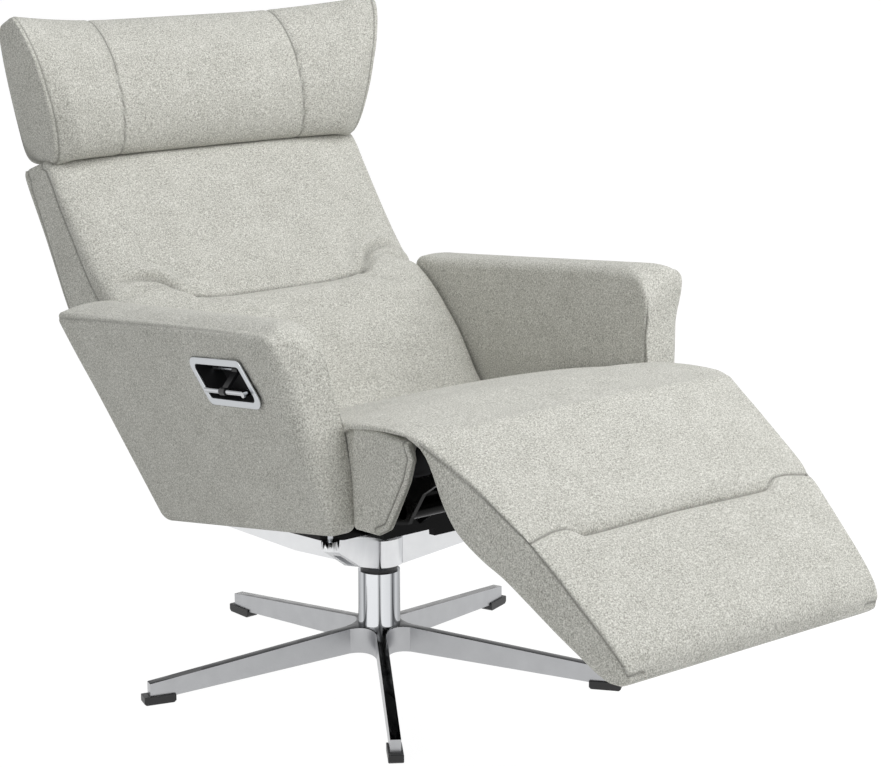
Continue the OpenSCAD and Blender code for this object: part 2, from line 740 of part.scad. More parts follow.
module bracket_box(b, grow) {
    translate([plate_out_x, b[0] - bracket_l / 2 - grow, b[1] - bracket_h / 2 - grow])
        cube([bracket_end_x + grow - plate_out_x, bracket_l + 2 * grow, bracket_h + 2 * grow]);
}

module arm_brackets() {
    color("#1b1c1d") both_sides() for (b = arm_bolt_places) difference() {
        bracket_box(b, 0);
        rod_x(b, small_bolt_r + set_gap, plate_out_x - over, arm_low_x);
    }
}

module arm_bolts() {
    color("#c4c7ca") both_sides() for (b = arm_bolt_places) union() {
        rod_x(b, small_bolt_r, plate_x - over, bracket_end_x - 2);
        rod_x(b, 1.7 * small_bolt_r, plate_x - over - small_bolt_r, plate_x - over);
    }
}

// Gas spring

module along_gas(s) {
    translate([0, gas_front[0], gas_front[1]]) rotate([gas_angle, 0, 0]) translate([0, s, 0]) rotate([-90, 0, 0])
        children();
}

module gas_spring_bracket() {
    ear_gap = 0.9 * gas_eye_r;
    color("#1b1c1d") union() {
        both_sides() side_plate(ear_gap, ear_t) difference() {
            union() {
                bar_2d(front_tube, gas_front, gas_eye_r);
                disc_at(gas_front, gas_eye_r);
                disc_at(front_tube, 1.5 * tube_r);
            }
            disc_at(front_tube, tube_r + set_gap);
        }
        rod_x(gas_front, push_pin_r, -ear_gap - ear_t, ear_gap + ear_t);
    }
}

module gas_spring_cylinder() {
    color("#1d1e20") difference() {
        union() {
            along_gas(gas_eye_r) cylinder(r = gas_r, h = gas_body_l, $fn = 64);
            rod_x(gas_front, gas_eye_r, -0.8 * gas_eye_r, 0.8 * gas_eye_r);
        }
        rod_x(gas_front, push_pin_r + run_gap, -gas_r - over, gas_r + over);
        along_gas(2 * gas_eye_r) cylinder(r = gas_r - gas_wall, h = gas_body_l - gas_eye_r - 2 * gas_wall, $fn = 64);
        along_gas(2 * gas_eye_r) cylinder(r = gas_rod_r + run_gap, h = gas_body_l, $fn = 48);
    }
}

module gas_spring_rod() {
    piston_s = 0.36 * gas_l;
    color("#d0d3d6") difference() {
        union() {
            along_gas(piston_s) cylinder(r = gas_rod_r, h = gas_l - piston_s, $fn = 48);
            along_gas(piston_s) cylinder(r = gas_r - gas_wall - run_gap, h = gas_eye_r, $fn = 64);
            rod_x(crank, gas_eye_r + gas_slack, -0.7 * gas_eye_r, 0.7 * gas_eye_r);
        }
        rod_x(crank, crank_r + gas_slack, -gas_r - over, gas_r + over);
    }
}

// Seat cushion and cheeks

seat_shares = [
    // distance from the rear end to the knee, height of the top over the underside line, 1 where it is narrow
    [0.022, 0.6, 0], [0.04, 0.64, 0], [0.12, 0.75, 0], [0.3, 0.89, 0], [0.48, 1, 0], [0.6, 0.99, 0],
    [0.645, 0.985, 0], [0.668, 0.98, 1], [0.78, 0.93, 1], [0.9, 0.84, 1]
];
seat_seam = 0.6;
nose_angles = [76, 90, 106, 122, 138, 152, 161];
nose_lap = 32;
rear_lean = 16;

module seat_cushion() {
    in_r = nose_r - nose_t;
    slab = [for (s = seat_shares)
        let (y = lerp(under_rear[0], knee[0], s[0]), low = y - rear_lean * max(0, 1 - 10 * s[0]))
        [[y, under_z(y) + seat_t * s[1]], [low, under_z(low)], s[2] == 1 ? nose_half_w : seat_half_w, seat_seam]];
    nose = [for (a = nose_angles)
        [knee + polar(nose_r, a), knee + polar(in_r, a - max(0, nose_lap - (a - nose_angles[0]))), nose_half_w, 0.7]];
    color("#b6b5af") cushion(concat(slab, nose), function(p) p, function(s, x) 0);
}

cheek_shares = [
    // along the cheek from its rear edge to the knee, height from its lower edge to its top,
    // and how far the inner edge stays behind
    [0, 1, 0], [0, 0.33, 0], [0.12, 0.02, 0], [0.24, -0.02, 0], [0.48, 0.02, 0.1], [0.6, 0.12, 0.16],
    [0.8, 0.5, 0.2], [0.97, 0.8, 0.2], [0.88, 0.94, 0.1], [0.54, 1.03, 0]
];
cheek_radii_shares = [0.05, 0.1, 0.1, 0.08, 0.08, 0.1, 0.3, 0.1, 0.1, 0.2];
cheek_rear = 251;
cheek_bulge = 9;

module cheek() {
    low_z = knee[1] - 92;
    top_z = knee[1] + 40;
    radii = [for (s = cheek_radii_shares) (top_z - low_z) * s];
    outline = function(t, d) rounded(
        [for (s = cheek_shares)
            [lerp(-cheek_rear, knee[0] - 8, s[0] - s[2] * (1 - t)), lerp(low_z, top_z, s[1])]],
        radii, d, 3);
    inner = function(p) plate_out_x + 3.5;
    outer = function(p) arm_inner_x + 0.2 + cheek_bulge * smooth((-p[0] - cheek_rear - 24) / 16);
    pad(outline, inner, outer, 6, 0);
}

module left_cheek() {
    color("#b0afa9") cheek();
}

module right_cheek() {
    color("#b0afa9") mirror([1, 0, 0]) cheek();
}

// Arms

arm_low_z = column_top_z + 105;
arm_top_z = column_top_z + arm_top_rise;
// The top is crowned across the arm, highest a third of the way out
function arm_lift(t) = arm_crown * (1 - pow(1.4 * (t - 0.3), 2));
function arm_outline(t) = [
    [arm_rear, arm_top_z - 48 + 0.6 * arm_lift(t)], [hip[0] + 8, arm_low_z - 8],
    [-arm_front - 49, arm_low_z + 62], [-arm_front, arm_top_z + arm_lift(t)]
];
arm_radii = [14, 14, 12];
arm_outer_corner_r = 18;
arm_rear_flare = 17;
function arm_up(p) = (p[1] - arm_low_z) / (arm_top_z - arm_low_z);
function arm_inner(p) = let (t = arm_up(p)) arm_inner_x + 3 * min(1, t / 0.6) + 18 * max(0, (t - 0.6) / 0.4);
function arm_outer(p) = arm_low_x + arm_flare * arm_up(p) + arm_rear_flare * (p[0] + arm_front + 49) / (arm_rear + arm_front + 49);

module arm() {
    outline = function(t, d)
        rounded(arm_outline(t), concat(arm_radii, [lerp(arm_corner_r, arm_outer_corner_r, smooth(1.2 * t - 0.1))]), d);
    difference() {
        pad(outline, function(p) arm_inner(p), function(p) arm_outer(p), pad_edge, 2);
        for (b = arm_bolt_places) bracket_box(b, soft_gap);
    }
}

module left_arm() {
    color("#b6b5af") arm();
}

// The release handle sits in the sitter's right arm. Its own frame has X towards the chair's front,
// Y up the arm's face and Z out of it.
bezel_at = [-bezel_front, column_top_z + bezel_rise];
bezel_turn = 7.7;
bezel_corner_r = 11;
bezel_t = 3;
cup_wall = 2;
face_lean = atan(arm_flare / (arm_top_z - arm_low_z));
module on_handle() {
    c = cos(face_lean);
    n = sin(face_lean);
    translate([-arm_outer(bezel_at) - 2.2, bezel_at[0], bezel_at[1]])
        multmatrix([[0, -n, -c, 0], [-1, 0, 0, 0], [0, c, -n, 0], [0, 0, 0, 1]]) rotate(bezel_turn) children();
}

// A slanted slab with rounded corners about the middle of the handle, from depth z0 to z1
module handle_slab(l, h, r, z0, z1) {
    k = bezel_slant * h / 2;
    translate([0, 0, z0]) linear_extrude(z1 - z0)
        polygon(rounded([[l / 2 - k, h / 2], [-l / 2 - k, h / 2], [k - l / 2, -h / 2], [l / 2 + k, -h / 2]],
            [r, r, r, r], 0, 1));
}

cup_l = bezel_l - 2 * bezel_w + 2 * cup_wall;
cup_h = bezel_h - 2 * bezel_w + 2 * cup_wall;
cup_r = bezel_corner_r - bezel_w / 2;

module right_arm() {
    color("#b6b5af") difference() {
        mirror([1, 0, 0]) arm();
        on_handle() handle_slab(cup_l + 2 * soft_gap, cup_h + 2 * soft_gap, cup_r, -recess_d - soft_gap, 4 * bezel_t);
        on_handle() handle_slab(bezel_l + 2 * soft_gap, bezel_h + 2 * soft_gap, bezel_corner_r, -soft_gap, 4 * bezel_t);
    }
}

module handle_cup() {
    color("#0d0d0e") on_handle() difference() {
        handle_slab(cup_l, cup_h, cup_r, -recess_d, -set_gap);
        handle_slab(cup_l - 2 * cup_wall, cup_h - 2 * cup_wall, cup_r - cup_wall / 2, -recess_d + cup_wall, over);
    }
}

module handle_bezel() {
    color("#b4b7ba") on_handle() difference() {
        handle_slab(bezel_l, bezel_h, bezel_corner_r, 0, bezel_t);
        handle_slab(bezel_l - 2 * bezel_w, bezel_h - 2 * bezel_w, cup_r - cup_wall / 2, -over, bezel_t + over);
    }
}

// The lever hangs on a pin across the cup, high and deep in it
lever_pin_r = 2.5;
lever_pin_at = [0.18 * cup_h, -0.66 * recess_d];
lever_bar_at = [-0.2 * cup_h, 2 * bezel_t];
lever_w = 12;
lever_bar_l = cup_l - 2 * cup_wall - 10;

module handle_rod(at, r, x0, x1) {
    translate([x0, at[0], at[1]]) rotate([0, 90, 0]) cylinder(r = r, h = x1 - x0, $fn = 32);
}

module lever_pin() {
    span = cup_l / 2 - cup_wall - set_gap;
    shift = bezel_slant * lever_pin_at[0];
    color("#c4c7ca") on_handle() handle_rod(lever_pin_at, lever_pin_r, over - span - shift, span - shift - over);
}

module lever_arm() {
    hub = 2.2 * lever_pin_r;
    color("#111112") on_handle() difference() {
        union() {
            handle_rod(lever_pin_at, hub, -lever_w / 2, lever_w / 2);
            translate([-lever_w / 2, 0, 0]) rotate([90, 0, 90]) linear_extrude(lever_w)
                bar_2d(lever_pin_at, lever_bar_at, 0.8 * lever_pin_r);
            handle_rod(lever_bar_at, 1.5 * lever_bar_r, -lever_w / 2, lever_w / 2);
        }
        handle_rod(lever_pin_at, lever_pin_r + run_gap, -lever_w, lever_w);
        handle_rod(lever_bar_at, lever_bar_r + run_gap, -lever_w, lever_w);
    }
}

module lever_bar() {
    shift = -bezel_slant * lever_bar_at[0];
    tip = shift + lever_bar_l / 2 - lever_bar_r;
    color("#d5d7d9") on_handle() union() {
        handle_rod(lever_bar_at, lever_bar_r, shift - lever_bar_l / 2, tip);
        translate([tip, lever_bar_at[0], lever_bar_at[1] - 4 * lever_bar_r])
            cylinder(r = 1.2 * lever_bar_r, h = 5.4 * lever_bar_r, $fn = 32);
    }
}

// Back

back_stations = [
    // height share of the back; front, rear and side seam as shares of the lumbar depth; width share
    [-0.128, 0.29, -0.29, 0, 0], [-0.1, 0.75, -0.75, 0.2, 0], [-0.05, 1.06, -1.06, 0.3, 0],
    [0.017, 1.07, -1.3, 0.45, 0], [0.057, 1.02, -1.53, 0.45, 0], [0.078, 1, -1.64, 0.45, 0],
    [0.12, 1, -1.8, 0.45, 0.03], [0.2, 1, -1.88, 0.42, 0.1], [0.32, 0.98, -1.97, 0.28, 0.15],
    [0.42, 0.84, -2.04, 0.15, 0.17], [0.48, 0.5, -2.07, 0, 0.24], [0.511, 0.26, -2.08, -0.05, 0.34],
    [0.55, 0.2, -2.08, -0.1, 0.46], [0.64, 0.14, -2.06, -0.33, 0.62], [0.78, 0.06, -1.9, -0.5, 0.76],
    [0.9, 0, -1.68, -0.55, 0.9], [0.972, -0.07, -1.5, -0.57, 0.95], [1, -0.14, -1.42, -0.6, 0.94],
    [1.011, -0.34, -1.24, -0.7, 0.92]
];
back_slope_share = 0.24;
channel_depth = 20;
channel_half_w = 150;
back_end_half_w = bracket_x - 6;
ear_room = 4;
// The lower end turns inside the mechanism, so the crank sets its size
function back_v(s) = s * (s < 0.06 ? 6.6 * crank_drop : back_h);
function back_col(s, k) = lookup(s, [for (r = back_stations) [r[0], r[k]]]);
function back_w(s) = s < 0.06 ? back_end_half_w : lerp(back_low_half_w, back_top_half_w, back_col(s, 4));
// The top of the back slopes less than its stations
function back_sheared(p) = [p[0] - back_slope_share * p[1] * smooth((p[0] / back_h - 0.84) / 0.14), p[1]];
function channel_at(v, x) =
    channel_depth * exp(-pow((v - back_channel_v) / 12, 2)) * smooth((channel_half_w - abs(x)) / 50);

// Middle lines of the back frame's tubes, as [height, depth]
frame_low = [24, -6];
frame_high = [back_h - 26, -26];
frame_mid_share = 0.52;

frame_x = bracket_x + plate_t / 2;
frame_a = back_point(frame_low);
frame_b = back_point(frame_high);
bracket_end = lerp(frame_a, frame_b, 0.26);

module along_frame() {
    run = frame_b - frame_a;
    translate([frame_x, frame_a[0], frame_a[1]]) rotate([-atan2(run[0], run[1]), 0, 0]) children();
}

// The cross tubes are a little thicker than the side tubes that end in them
cross_tube_r = back_tube_r + over;
cross_ends = [[frame_mid_share, 0], [1, 1.5 * back_tube_r]];

module back_tubes() {
    both_sides() along_frame() cylinder(r = back_tube_r, h = norm(frame_b - frame_a), $fn = 48);
    for (s = cross_ends) rod_x(lerp(frame_a, frame_b, s[0]), cross_tube_r, -frame_x - s[1], frame_x + s[1]);
}

// The room that the frame takes in the back cushion
module back_hollow() {
    r = back_tube_r + soft_gap;
    both_sides() along_frame() translate([-r, -r, 0]) cube([2 * r, 2 * r, norm(frame_b - frame_a)]);
    for (s = cross_ends) side_plate(-frame_x - s[1] - soft_gap, 2 * (frame_x + s[1] + soft_gap))
        hollow_at(lerp(frame_a, frame_b, s[0]), cross_tube_r + soft_gap);
    both_sides() side_plate(bracket_x - soft_gap, plate_t + 2 * soft_gap) {
        hollow_at(hip, ear_r + nose_gap);
        bar_2d(hip, bracket_end, back_tube_r + soft_gap);
        hollow_at(bracket_end, back_tube_r + soft_gap);
    }
    // Room in which the mechanism's ears and the tilt rails stay while the back turns
    both_sides() side_plate(ear_x - ear_room, 2 * ear_t + stack_gap + 2 * ear_room) polygon([for (p = [
        [0.03, -2], [-0.3, -2], [-0.3, 2], [-0.05, 2], [-0.05, 0.35], [0.03, 0.35]
    ]) back_point([back_h * p[0], lumbar_f * p[1]])]);
}

module back_frame() {
    color("#141415") difference() {
        union() {
            back_tubes();
            both_sides() side_plate(bracket_x, plate_t) {
                disc_at(hip, ear_r);
                disc_at(crank, 2 * crank_r);
                bar_2d(hip, crank, 1.8 * crank_r);
                bar_2d(hip, bracket_end, 0.9 * back_tube_r);
            }
        }
        both_sides() rod_x(hip, recline_pin_r + run_gap, rod_x, plate_x);
        both_sides() rod_x(crank, crank_r + set_gap, rod_x, plate_x);
    }
}

module crank_shaft() {
    color("#c4c7ca") rod_x(crank, crank_r, -bracket_x - plate_t - 2, bracket_x + plate_t + 2);
}

module back_cushion() {
    stations = [for (s = back_stations)
        let (v = back_v(s[0]), top = lumbar_f * s[1], low = min(lumbar_f * s[2] + shell_t + soft_gap, top - 6))
        [[v, top], [v, low], back_w(s[0]), max(0.15, min(0.9, (lumbar_f * s[3] - low) / (top - low)))]];
    color("#b6b5af") difference() {
        cushion(stations, function(p) back_point(back_sheared(p)), function(v, x) channel_at(v, x));
        back_hollow();
        hinge_strap(soft_gap);
    }
}

module back_shell() {
    rows = [for (r = back_stations) if (r[0] > 0.06 && r[0] < 0.99) r[0]];
    stations = [for (s = rows)
        let (v = back_h * s, edge = (s == rows[0] || s == rows[len(rows) - 1]) ? 0.4 : 1, f = lumbar_f * back_col(s, 2))
        [[v, f + shell_t * (0.5 + edge / 2)], [v, f + shell_t * (0.5 - edge / 2)], back_w(s) - 2, 0.8]];
    color("#a9a8a2") cushion(stations, function(p) back_point(back_sheared(p)), function(v, x) 0);
}

module push_rods() {
    slack = 3.4;
    eye_r = crank_r + 5;
    far_r = push_pin_r + slack + 4;
    color("#26272a") both_sides() side_plate(rod_x, rod_t) difference() {
        union() {
            disc_at(crank, eye_r);
            disc_at(push_pin, far_r);
            bar_2d(crank, push_pin, 0.6 * eye_r);
        }
        disc_at(crank, crank_r + run_gap);
        disc_at(push_pin, push_pin_r + slack);
    }
}

// Headrest

hinge_x = 96;
hinge_w = 34;
hinge_t = 5;
head_pin_r = 5;
head_plate_t = 6;
hinge_touch = back_point(frame_high - [0, 1.08 * (cross_tube_r + hinge_t / 2 + set_gap)]);
hinge_low = lerp(head_pivot, hinge_touch, 1.4);

module hinge_strap(grow) {
    run = head_pivot - hinge_low;
    both_sides() translate([hinge_x - hinge_w / 2 - grow, hinge_low[0], hinge_low[1]])
        rotate([-atan2(run[0], run[1]), 0, 0])
            translate([0, -hinge_t / 2 - grow, -grow]) cube([hinge_w + 2 * grow, hinge_t + 2 * grow, norm(run) + grow]);
}

module headrest_hinges() {
    color("#1b1c1d") difference() {
        union() {
            hinge_strap(0);
            both_sides() rod_x(head_pivot, 2 * head_pin_r, hinge_x - hinge_w / 2, hinge_x + hinge_w / 2);
        }
        both_sides() rod_x(head_pivot, head_pin_r + run_gap, hinge_x - hinge_w, hinge_x + hinge_w);
        both_sides() rod_x(head_pivot, 3 * head_pin_r, hinge_x - hinge_w / 4, hinge_x + hinge_w / 4);
    }
}

module headrest_pins() {
    color("#c4c7ca") both_sides() rod_x(head_pivot, head_pin_r, hinge_x - hinge_w / 2 - 2, hinge_x + hinge_w / 2 + 2);
}

// A board inside the headrest, with a knuckle between the two ears of each hinge
module plate_2d() {
    back = head_point([0, -0.38 * head_t]);
    high = head_point([0.6 * head_h, -0.38 * head_t]);
    bar_2d(back, high, head_plate_t / 2);
}

module headrest_plate() {
    knuckle = hinge_w / 2 - 1;
    color("#2b2c2e") difference() {
        union() {
            side_plate(-0.5 * head_half_w, head_half_w) plate_2d();
            both_sides() rod_x(head_pivot, 2 * head_pin_r, hinge_x - knuckle / 2, hinge_x + knuckle / 2);
            both_sides() side_plate(hinge_x - knuckle / 2, knuckle)
                bar_2d(head_pivot, head_point([0.14 * head_h, -0.38 * head_t]), head_plate_t / 2);
        }
        both_sides() rod_x(head_pivot, head_pin_r + run_gap, hinge_x - hinge_w, hinge_x + hinge_w);
        both_sides() side_plate(hinge_x - hinge_w / 2 - 1, hinge_w / 4 + 1) disc_at(head_pivot, 2.6 * head_pin_r);
        both_sides() side_plate(hinge_x + hinge_w / 4, hinge_w / 4 + 1) disc_at(head_pivot, 2.6 * head_pin_r);
    }
}

head_ring_n = 26;
head_low_v = -30;
head_bevel = 25;
head_x_shares = [-1, -0.985, -0.94, -0.86, -0.74, -0.6, -0.42, -0.2, 0, 0.2, 0.42, 0.6, 0.74, 0.86, 0.94, 0.985, 1];
head_low_w_share = 0.83;
head_front_f = 14;
function wing(s) = pow(max(0, (abs(s) - 0.38) / 0.62), 1.6);

module headrest() {
    // A ring lies in the side view: v runs up the headrest and f out of its front
    rings = [for (s = head_x_shares)
        let (tight = abs(s) == 1 ? 0.84 : (abs(s) > 0.98 ? 0.96 : 1), w = wing(s))
        [for (j = [0 : head_ring_n - 1])
            let (
                a = -360 * (j + 0.5) / head_ring_n,
                up = 0.5 + 0.5 * tight * power(sin(a), 0.32),
                g = 0.5 + 0.5 * tight * power(cos(a), 0.3),
                v = lerp(head_low_v + head_bevel * (1 - g) - 2 * w, head_low_v + head_h - 10 * w, up),
                reach = wing_reach * (1 - 0.75 * pow(1 - up, 2)),
                puff = head_crown * (1 - 0.68 * w) * pow(4 * up * (1 - up), 0.9),
                front = head_front_f + reach * w + puff,
                rear_mid = head_front_f - head_t * lerp(0.94, 0.8, up),
                rear_end = lerp(-0.97, 0.42, pow(up, 1.2)) * head_t,
                rear = lerp(rear_mid, rear_end, w),
                p = head_point([v, lerp(rear, front, g)])
            )
            [s * head_half_w * lerp(head_low_w_share, 1, up), p[0], p[1]]]];
    plate_f = -0.38 * head_t;
    color("#b6b5af") difference() {
        skin(rings);
        side_plate(-0.5 * head_half_w - soft_gap, head_half_w + 2 * soft_gap)
            bar_2d(head_point([-over, plate_f]), head_point([0.6 * head_h + soft_gap, plate_f]),
                head_plate_t / 2 + soft_gap);
        both_sides() side_plate(hinge_x - hinge_w / 2 - 3, hinge_w + 6) {
            hollow_at(head_pivot, 2.7 * head_pin_r);
            polygon([head_pivot + [-2.7 * head_pin_r, 0], head_pivot + [-14 * head_pin_r, -head_h],
                head_pivot + [3 * head_pin_r, -head_h], head_pivot + [2.7 * head_pin_r, 0]]);
            bar_2d(head_pivot, head_point([0.14 * head_h, plate_f]), head_plate_t);
        }
    }
}

// Footrest

foot_stations = [
    // distance share along the footrest, height shares of the top and of the underside
    [0.27, 0.96, -0.15], [0.36, 0.99, -0.14], [0.44, 1, -0.07], [0.483, 0.98, -0.04],
    [0.53, 1, -0.02], [0.62, 0.99, -0.01], [0.74, 0.98, 0.01], [0.84, 0.96, 0.04], [0.92, 0.9, 0.1],
    [0.965, 0.82, 0.17], [0.992, 0.68, 0.29], [1, 0.54, 0.4]
];
foot_lip = [
    // angle of the hollow's edge, and the cover's top over it as a distance along and a height share
    [112, -15, 0.69], [100, -7, 0.8], [84, 8, 0.87], [66, 24, 0.91], [46, 44, 0.94], [26, 62, 0.95], [10, 76, 0.955]
];
foot_dip = 14;
foot_seam = 0.8;
function foot_w(u) = lerp(foot_knee_half_w, foot_toe_half_w, max(0, u) / foot_l);

module on_foot() {
    translate([0, knee[0], knee[1]]) rotate([foot_slope, 0, 0]) mirror([0, 1, 0]) children();
}

// The board lies in a recess under the cushion, from share 0 to share 1 of its own length
board_t = 9;
board_a = [0.25 * foot_l, -0.16 * foot_top_n];
board_b = [0.9 * foot_l, 0.06 * foot_top_n];
board_run = board_b - board_a;
board_l = norm(board_run);
board_turn = atan2(board_run[1], board_run[0]);
function board_point(s, n) = board_a + s * board_run + n * [-board_run[1], board_run[0]] / board_l;

module on_board() {
    on_foot() translate([0, board_a[0], board_a[1]]) rotate([board_turn, 0, 0]) children();
}

module board_2d(grow) {
    inset = 18 - grow;
    wide = foot_w(board_a[0]) - inset;
    narrow = foot_w(board_b[0]) - inset;
    polygon([[-wide, -grow], [wide, -grow], [narrow, board_l + grow], [-narrow, board_l + grow]]);
}

module footrest_cushion() {
    // The inner end is hollow about the knee hinge, so that it turns round the seat's rolled edge
    in_r = nose_r + 1.3;
    lip = [for (s = foot_lip) [[s[1], foot_top_n * s[2]], polar(in_r, s[0]), foot_w(0), 0.7]];
    slab = [for (s = foot_stations)
        let (u = foot_l * s[0]) [[u, foot_top_n * s[1]], [u, foot_top_n * s[2]], foot_w(u), foot_seam]];
    color("#b6b5af") difference() {
        cushion(concat(lip, slab), function(p) foot_point(p), function(u, x)
            foot_dip * exp(-pow((u - foot_channel_u) / 10, 2)) * smooth((foot_w(u) - abs(x)) / 60 + 0.35));
        on_board() translate([0, 0, -2 * board_t]) linear_extrude(3 * board_t + soft_gap) board_2d(soft_gap);
    }
}

module footrest_board() {
    color("#3a3937") on_board() linear_extrude(board_t) board_2d(0);
}

foot_bar_w = 34;
foot_bar_t = 4;
module footrest_frame() {
    deep = -foot_bar_t - 14;
    color("#141415") difference() {
        union() {
            both_sides() side_plate(arm_plate_x, rod_t) {
                disc_at(knee, ear_r);
                disc_at(push_pin, 2 * push_pin_r);
                bar_2d(knee, push_pin, 2 * push_pin_r);
                polygon([for (p = [
                    [-0.3 * ear_r, -0.95 * ear_r], board_point(0, deep), board_point(0.62, deep),
                    board_point(0.66, -foot_bar_t), board_point(-0.05, -foot_bar_t), [0.98 * ear_r, 0.2 * ear_r]
                ]) foot_point(p)]);
            }
            on_board() for (s = [0.08, 0.5]) translate([-arm_plate_x - rod_t, s * board_l, -foot_bar_t])
                cube([2 * (arm_plate_x + rod_t), foot_bar_w, foot_bar_t]);
            both_sides() rod_x(push_pin, push_pin_r, rod_x - 3, arm_plate_x + over);
        }
        rod_x(knee, knee_tube_r + run_gap, -plate_x, plate_x);
    }
}

star_base();
foot_glides();
column_tube();
lower_bush();
upper_bush();
thrust_washer();
retaining_washer();
spindle();
spindle_bolt();
yoke();
mechanism_base();
yoke_bolts();
tilt_pins();
seat_side_plates();
seat_cross_tubes();
knee_tube();
tilt_rails();
recline_pins();
seat_webbing();
arm_brackets();
arm_bolts();
gas_spring_bracket();
gas_spring_cylinder();
gas_spring_rod();
seat_cushion();
left_cheek();
right_cheek();
left_arm();
right_arm();
handle_cup();
handle_bezel();
lever_pin();
lever_arm();
lever_bar();
back_frame();
crank_shaft();
back_cushion();
back_shell();
push_rods();
headrest_hinges();
headrest_pins();
headrest_plate();
headrest();
footrest_frame();
footrest_board();
footrest_cushion();
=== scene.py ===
"""Star base swivel recliner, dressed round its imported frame, half reclined with the footrest out.

Places are worked out in millimetres and put into the meshes in metres. Front is -Y and up is +Z.
"""

import bpy
import numpy as np
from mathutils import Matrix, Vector


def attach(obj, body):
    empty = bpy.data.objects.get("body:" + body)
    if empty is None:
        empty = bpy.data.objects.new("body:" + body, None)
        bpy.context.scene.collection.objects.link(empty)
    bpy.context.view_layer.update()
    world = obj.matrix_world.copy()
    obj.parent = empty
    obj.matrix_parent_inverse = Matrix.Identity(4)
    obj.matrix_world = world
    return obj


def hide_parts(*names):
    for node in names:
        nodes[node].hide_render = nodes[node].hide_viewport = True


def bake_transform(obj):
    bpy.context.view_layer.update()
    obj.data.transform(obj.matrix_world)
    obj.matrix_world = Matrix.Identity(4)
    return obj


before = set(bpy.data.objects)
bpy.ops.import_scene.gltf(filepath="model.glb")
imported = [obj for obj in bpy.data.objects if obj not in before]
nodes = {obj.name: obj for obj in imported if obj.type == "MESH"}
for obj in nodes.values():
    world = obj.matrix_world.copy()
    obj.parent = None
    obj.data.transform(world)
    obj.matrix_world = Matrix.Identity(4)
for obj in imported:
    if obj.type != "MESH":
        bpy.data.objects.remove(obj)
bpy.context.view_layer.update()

# Camera
# The photograph's place: in front of the chair on the sitter's right, a little above the headrest,
# through a long lens. The target lies in the middle of the frame.

camera_data = bpy.data.cameras.new("photograph_camera")
camera_data.lens = 95.62
camera_data.sensor_width = 36
camera = bpy.data.objects.new("photograph_camera", camera_data)
bpy.context.scene.collection.objects.link(camera)
camera.location = (-1.8673, -2.4438, 1.1395)
target = Vector((0.0658, -0.0532, 0.4080))
camera.rotation_euler = (target - camera.location).to_track_quat("-Z", "Y").to_euler()
bpy.context.scene.camera = camera

# Star base
# Five tapered legs in one aluminium casting. The broad sides are ground silky. The top edges are
# polished, and their dark look is a painted reflection: a dark tone put into the base colour where
# the surface faces up.


def linear(code):
    """The linear colour of an sRGB hex code: each channel goes through the two-part sRGB curve."""
    c = np.array([int(code[i:i + 2], 16) for i in (1, 3, 5)]) / 255
    return tuple(np.where(c <= 0.04045, c / 12.92, ((c + 0.055) / 1.055) ** 2.4)) + (1.0,)


def add_node(tree, kind, inputs=(), **settings):
    """Adds a node, sets its properties, and gives each input a value or joins it to an output."""
    made = tree.nodes.new("ShaderNode" + kind)
    for key, value in settings.items():
        setattr(made, key, value)
    for key, value in dict(inputs).items():
        if isinstance(value, bpy.types.NodeSocket):
            tree.links.new(value, made.inputs[key])
        else:
            made.inputs[key].default_value = value
    return made


def new_finish(name):
    """An empty material and its node tree."""
    finish = bpy.data.materials.new(name)
    finish.use_nodes = True
    finish.node_tree.nodes.clear()
    return finish, finish.node_tree


def give(finish, *names):
    """Puts a material into every slot of the named CAD nodes."""
    for name in names:
        for place in nodes[name].material_slots:
            place.material = finish


# The wheel leaves a soft cloudiness 25 mm across, and fine scratches, which are drawn 1.2 mm apart so
# that they show.


def cast_metal(name, low, high, top):
    """Ground aluminium between two tones. Where it looks up it is polished smoother, and its colour
    goes to the third tone, top, which is a painted reflection.
    """
    finish, tree = new_finish(name)
    where = add_node(tree, "TexCoord").outputs["Object"]
    cloud = add_node(tree, "TexNoise", {"Vector": where, "Scale": 40, "Detail": 3})
    scratch = add_node(tree, "TexNoise", {"Vector": where, "Scale": 800, "Detail": 2})
    normal = add_node(tree, "NewGeometry").outputs["Normal"]
    facing = add_node(tree, "SeparateXYZ", {"Vector": normal})
    upward = add_node(tree, "MapRange", {"Value": facing.outputs["Z"], "From Min": 0.5,
                                         "From Max": 0.85})
    shine = add_node(tree, "MapRange", {"Value": upward.outputs["Result"], "To Min": 0.30,
                                        "To Max": 0.13})
    rough = add_node(tree, "Math", {0: cloud.outputs["Fac"], 1: 0.10, 2: shine.outputs["Result"]},
                     operation="MULTIPLY_ADD")
    bump = add_node(tree, "Bump", {"Height": scratch.outputs["Fac"], "Strength": 0.06,
                                   "Distance": 0.0004})
    tint = add_node(tree, "ValToRGB", {"Fac": cloud.outputs["Fac"]})
    tint.color_ramp.elements[0].color = linear(low)
    tint.color_ramp.elements[1].color = linear(high)
    # Painted reflection: the base colour goes to the top tone where the surface looks up.
    mixed = add_node(tree, "Mix", {0: upward.outputs["Result"], 6: tint.outputs["Color"],
                                   7: linear(top)}, data_type="RGBA")
    metal = add_node(tree, "BsdfPrincipled", {"Base Color": mixed.outputs[2], "Metallic": 1.0,
                                              "Roughness": rough.outputs["Value"],
                                              "Normal": bump.outputs["Normal"]})
    add_node(tree, "OutputMaterial", {"Surface": metal.outputs["BSDF"]})
    return finish


# The third tone, #2E2F31, is a painted reflection on the legs' upward faces.
give(cast_metal("polished_cast_aluminium", "#A9AAAC", "#BABBBD", "#2E2F31"), "star_base")


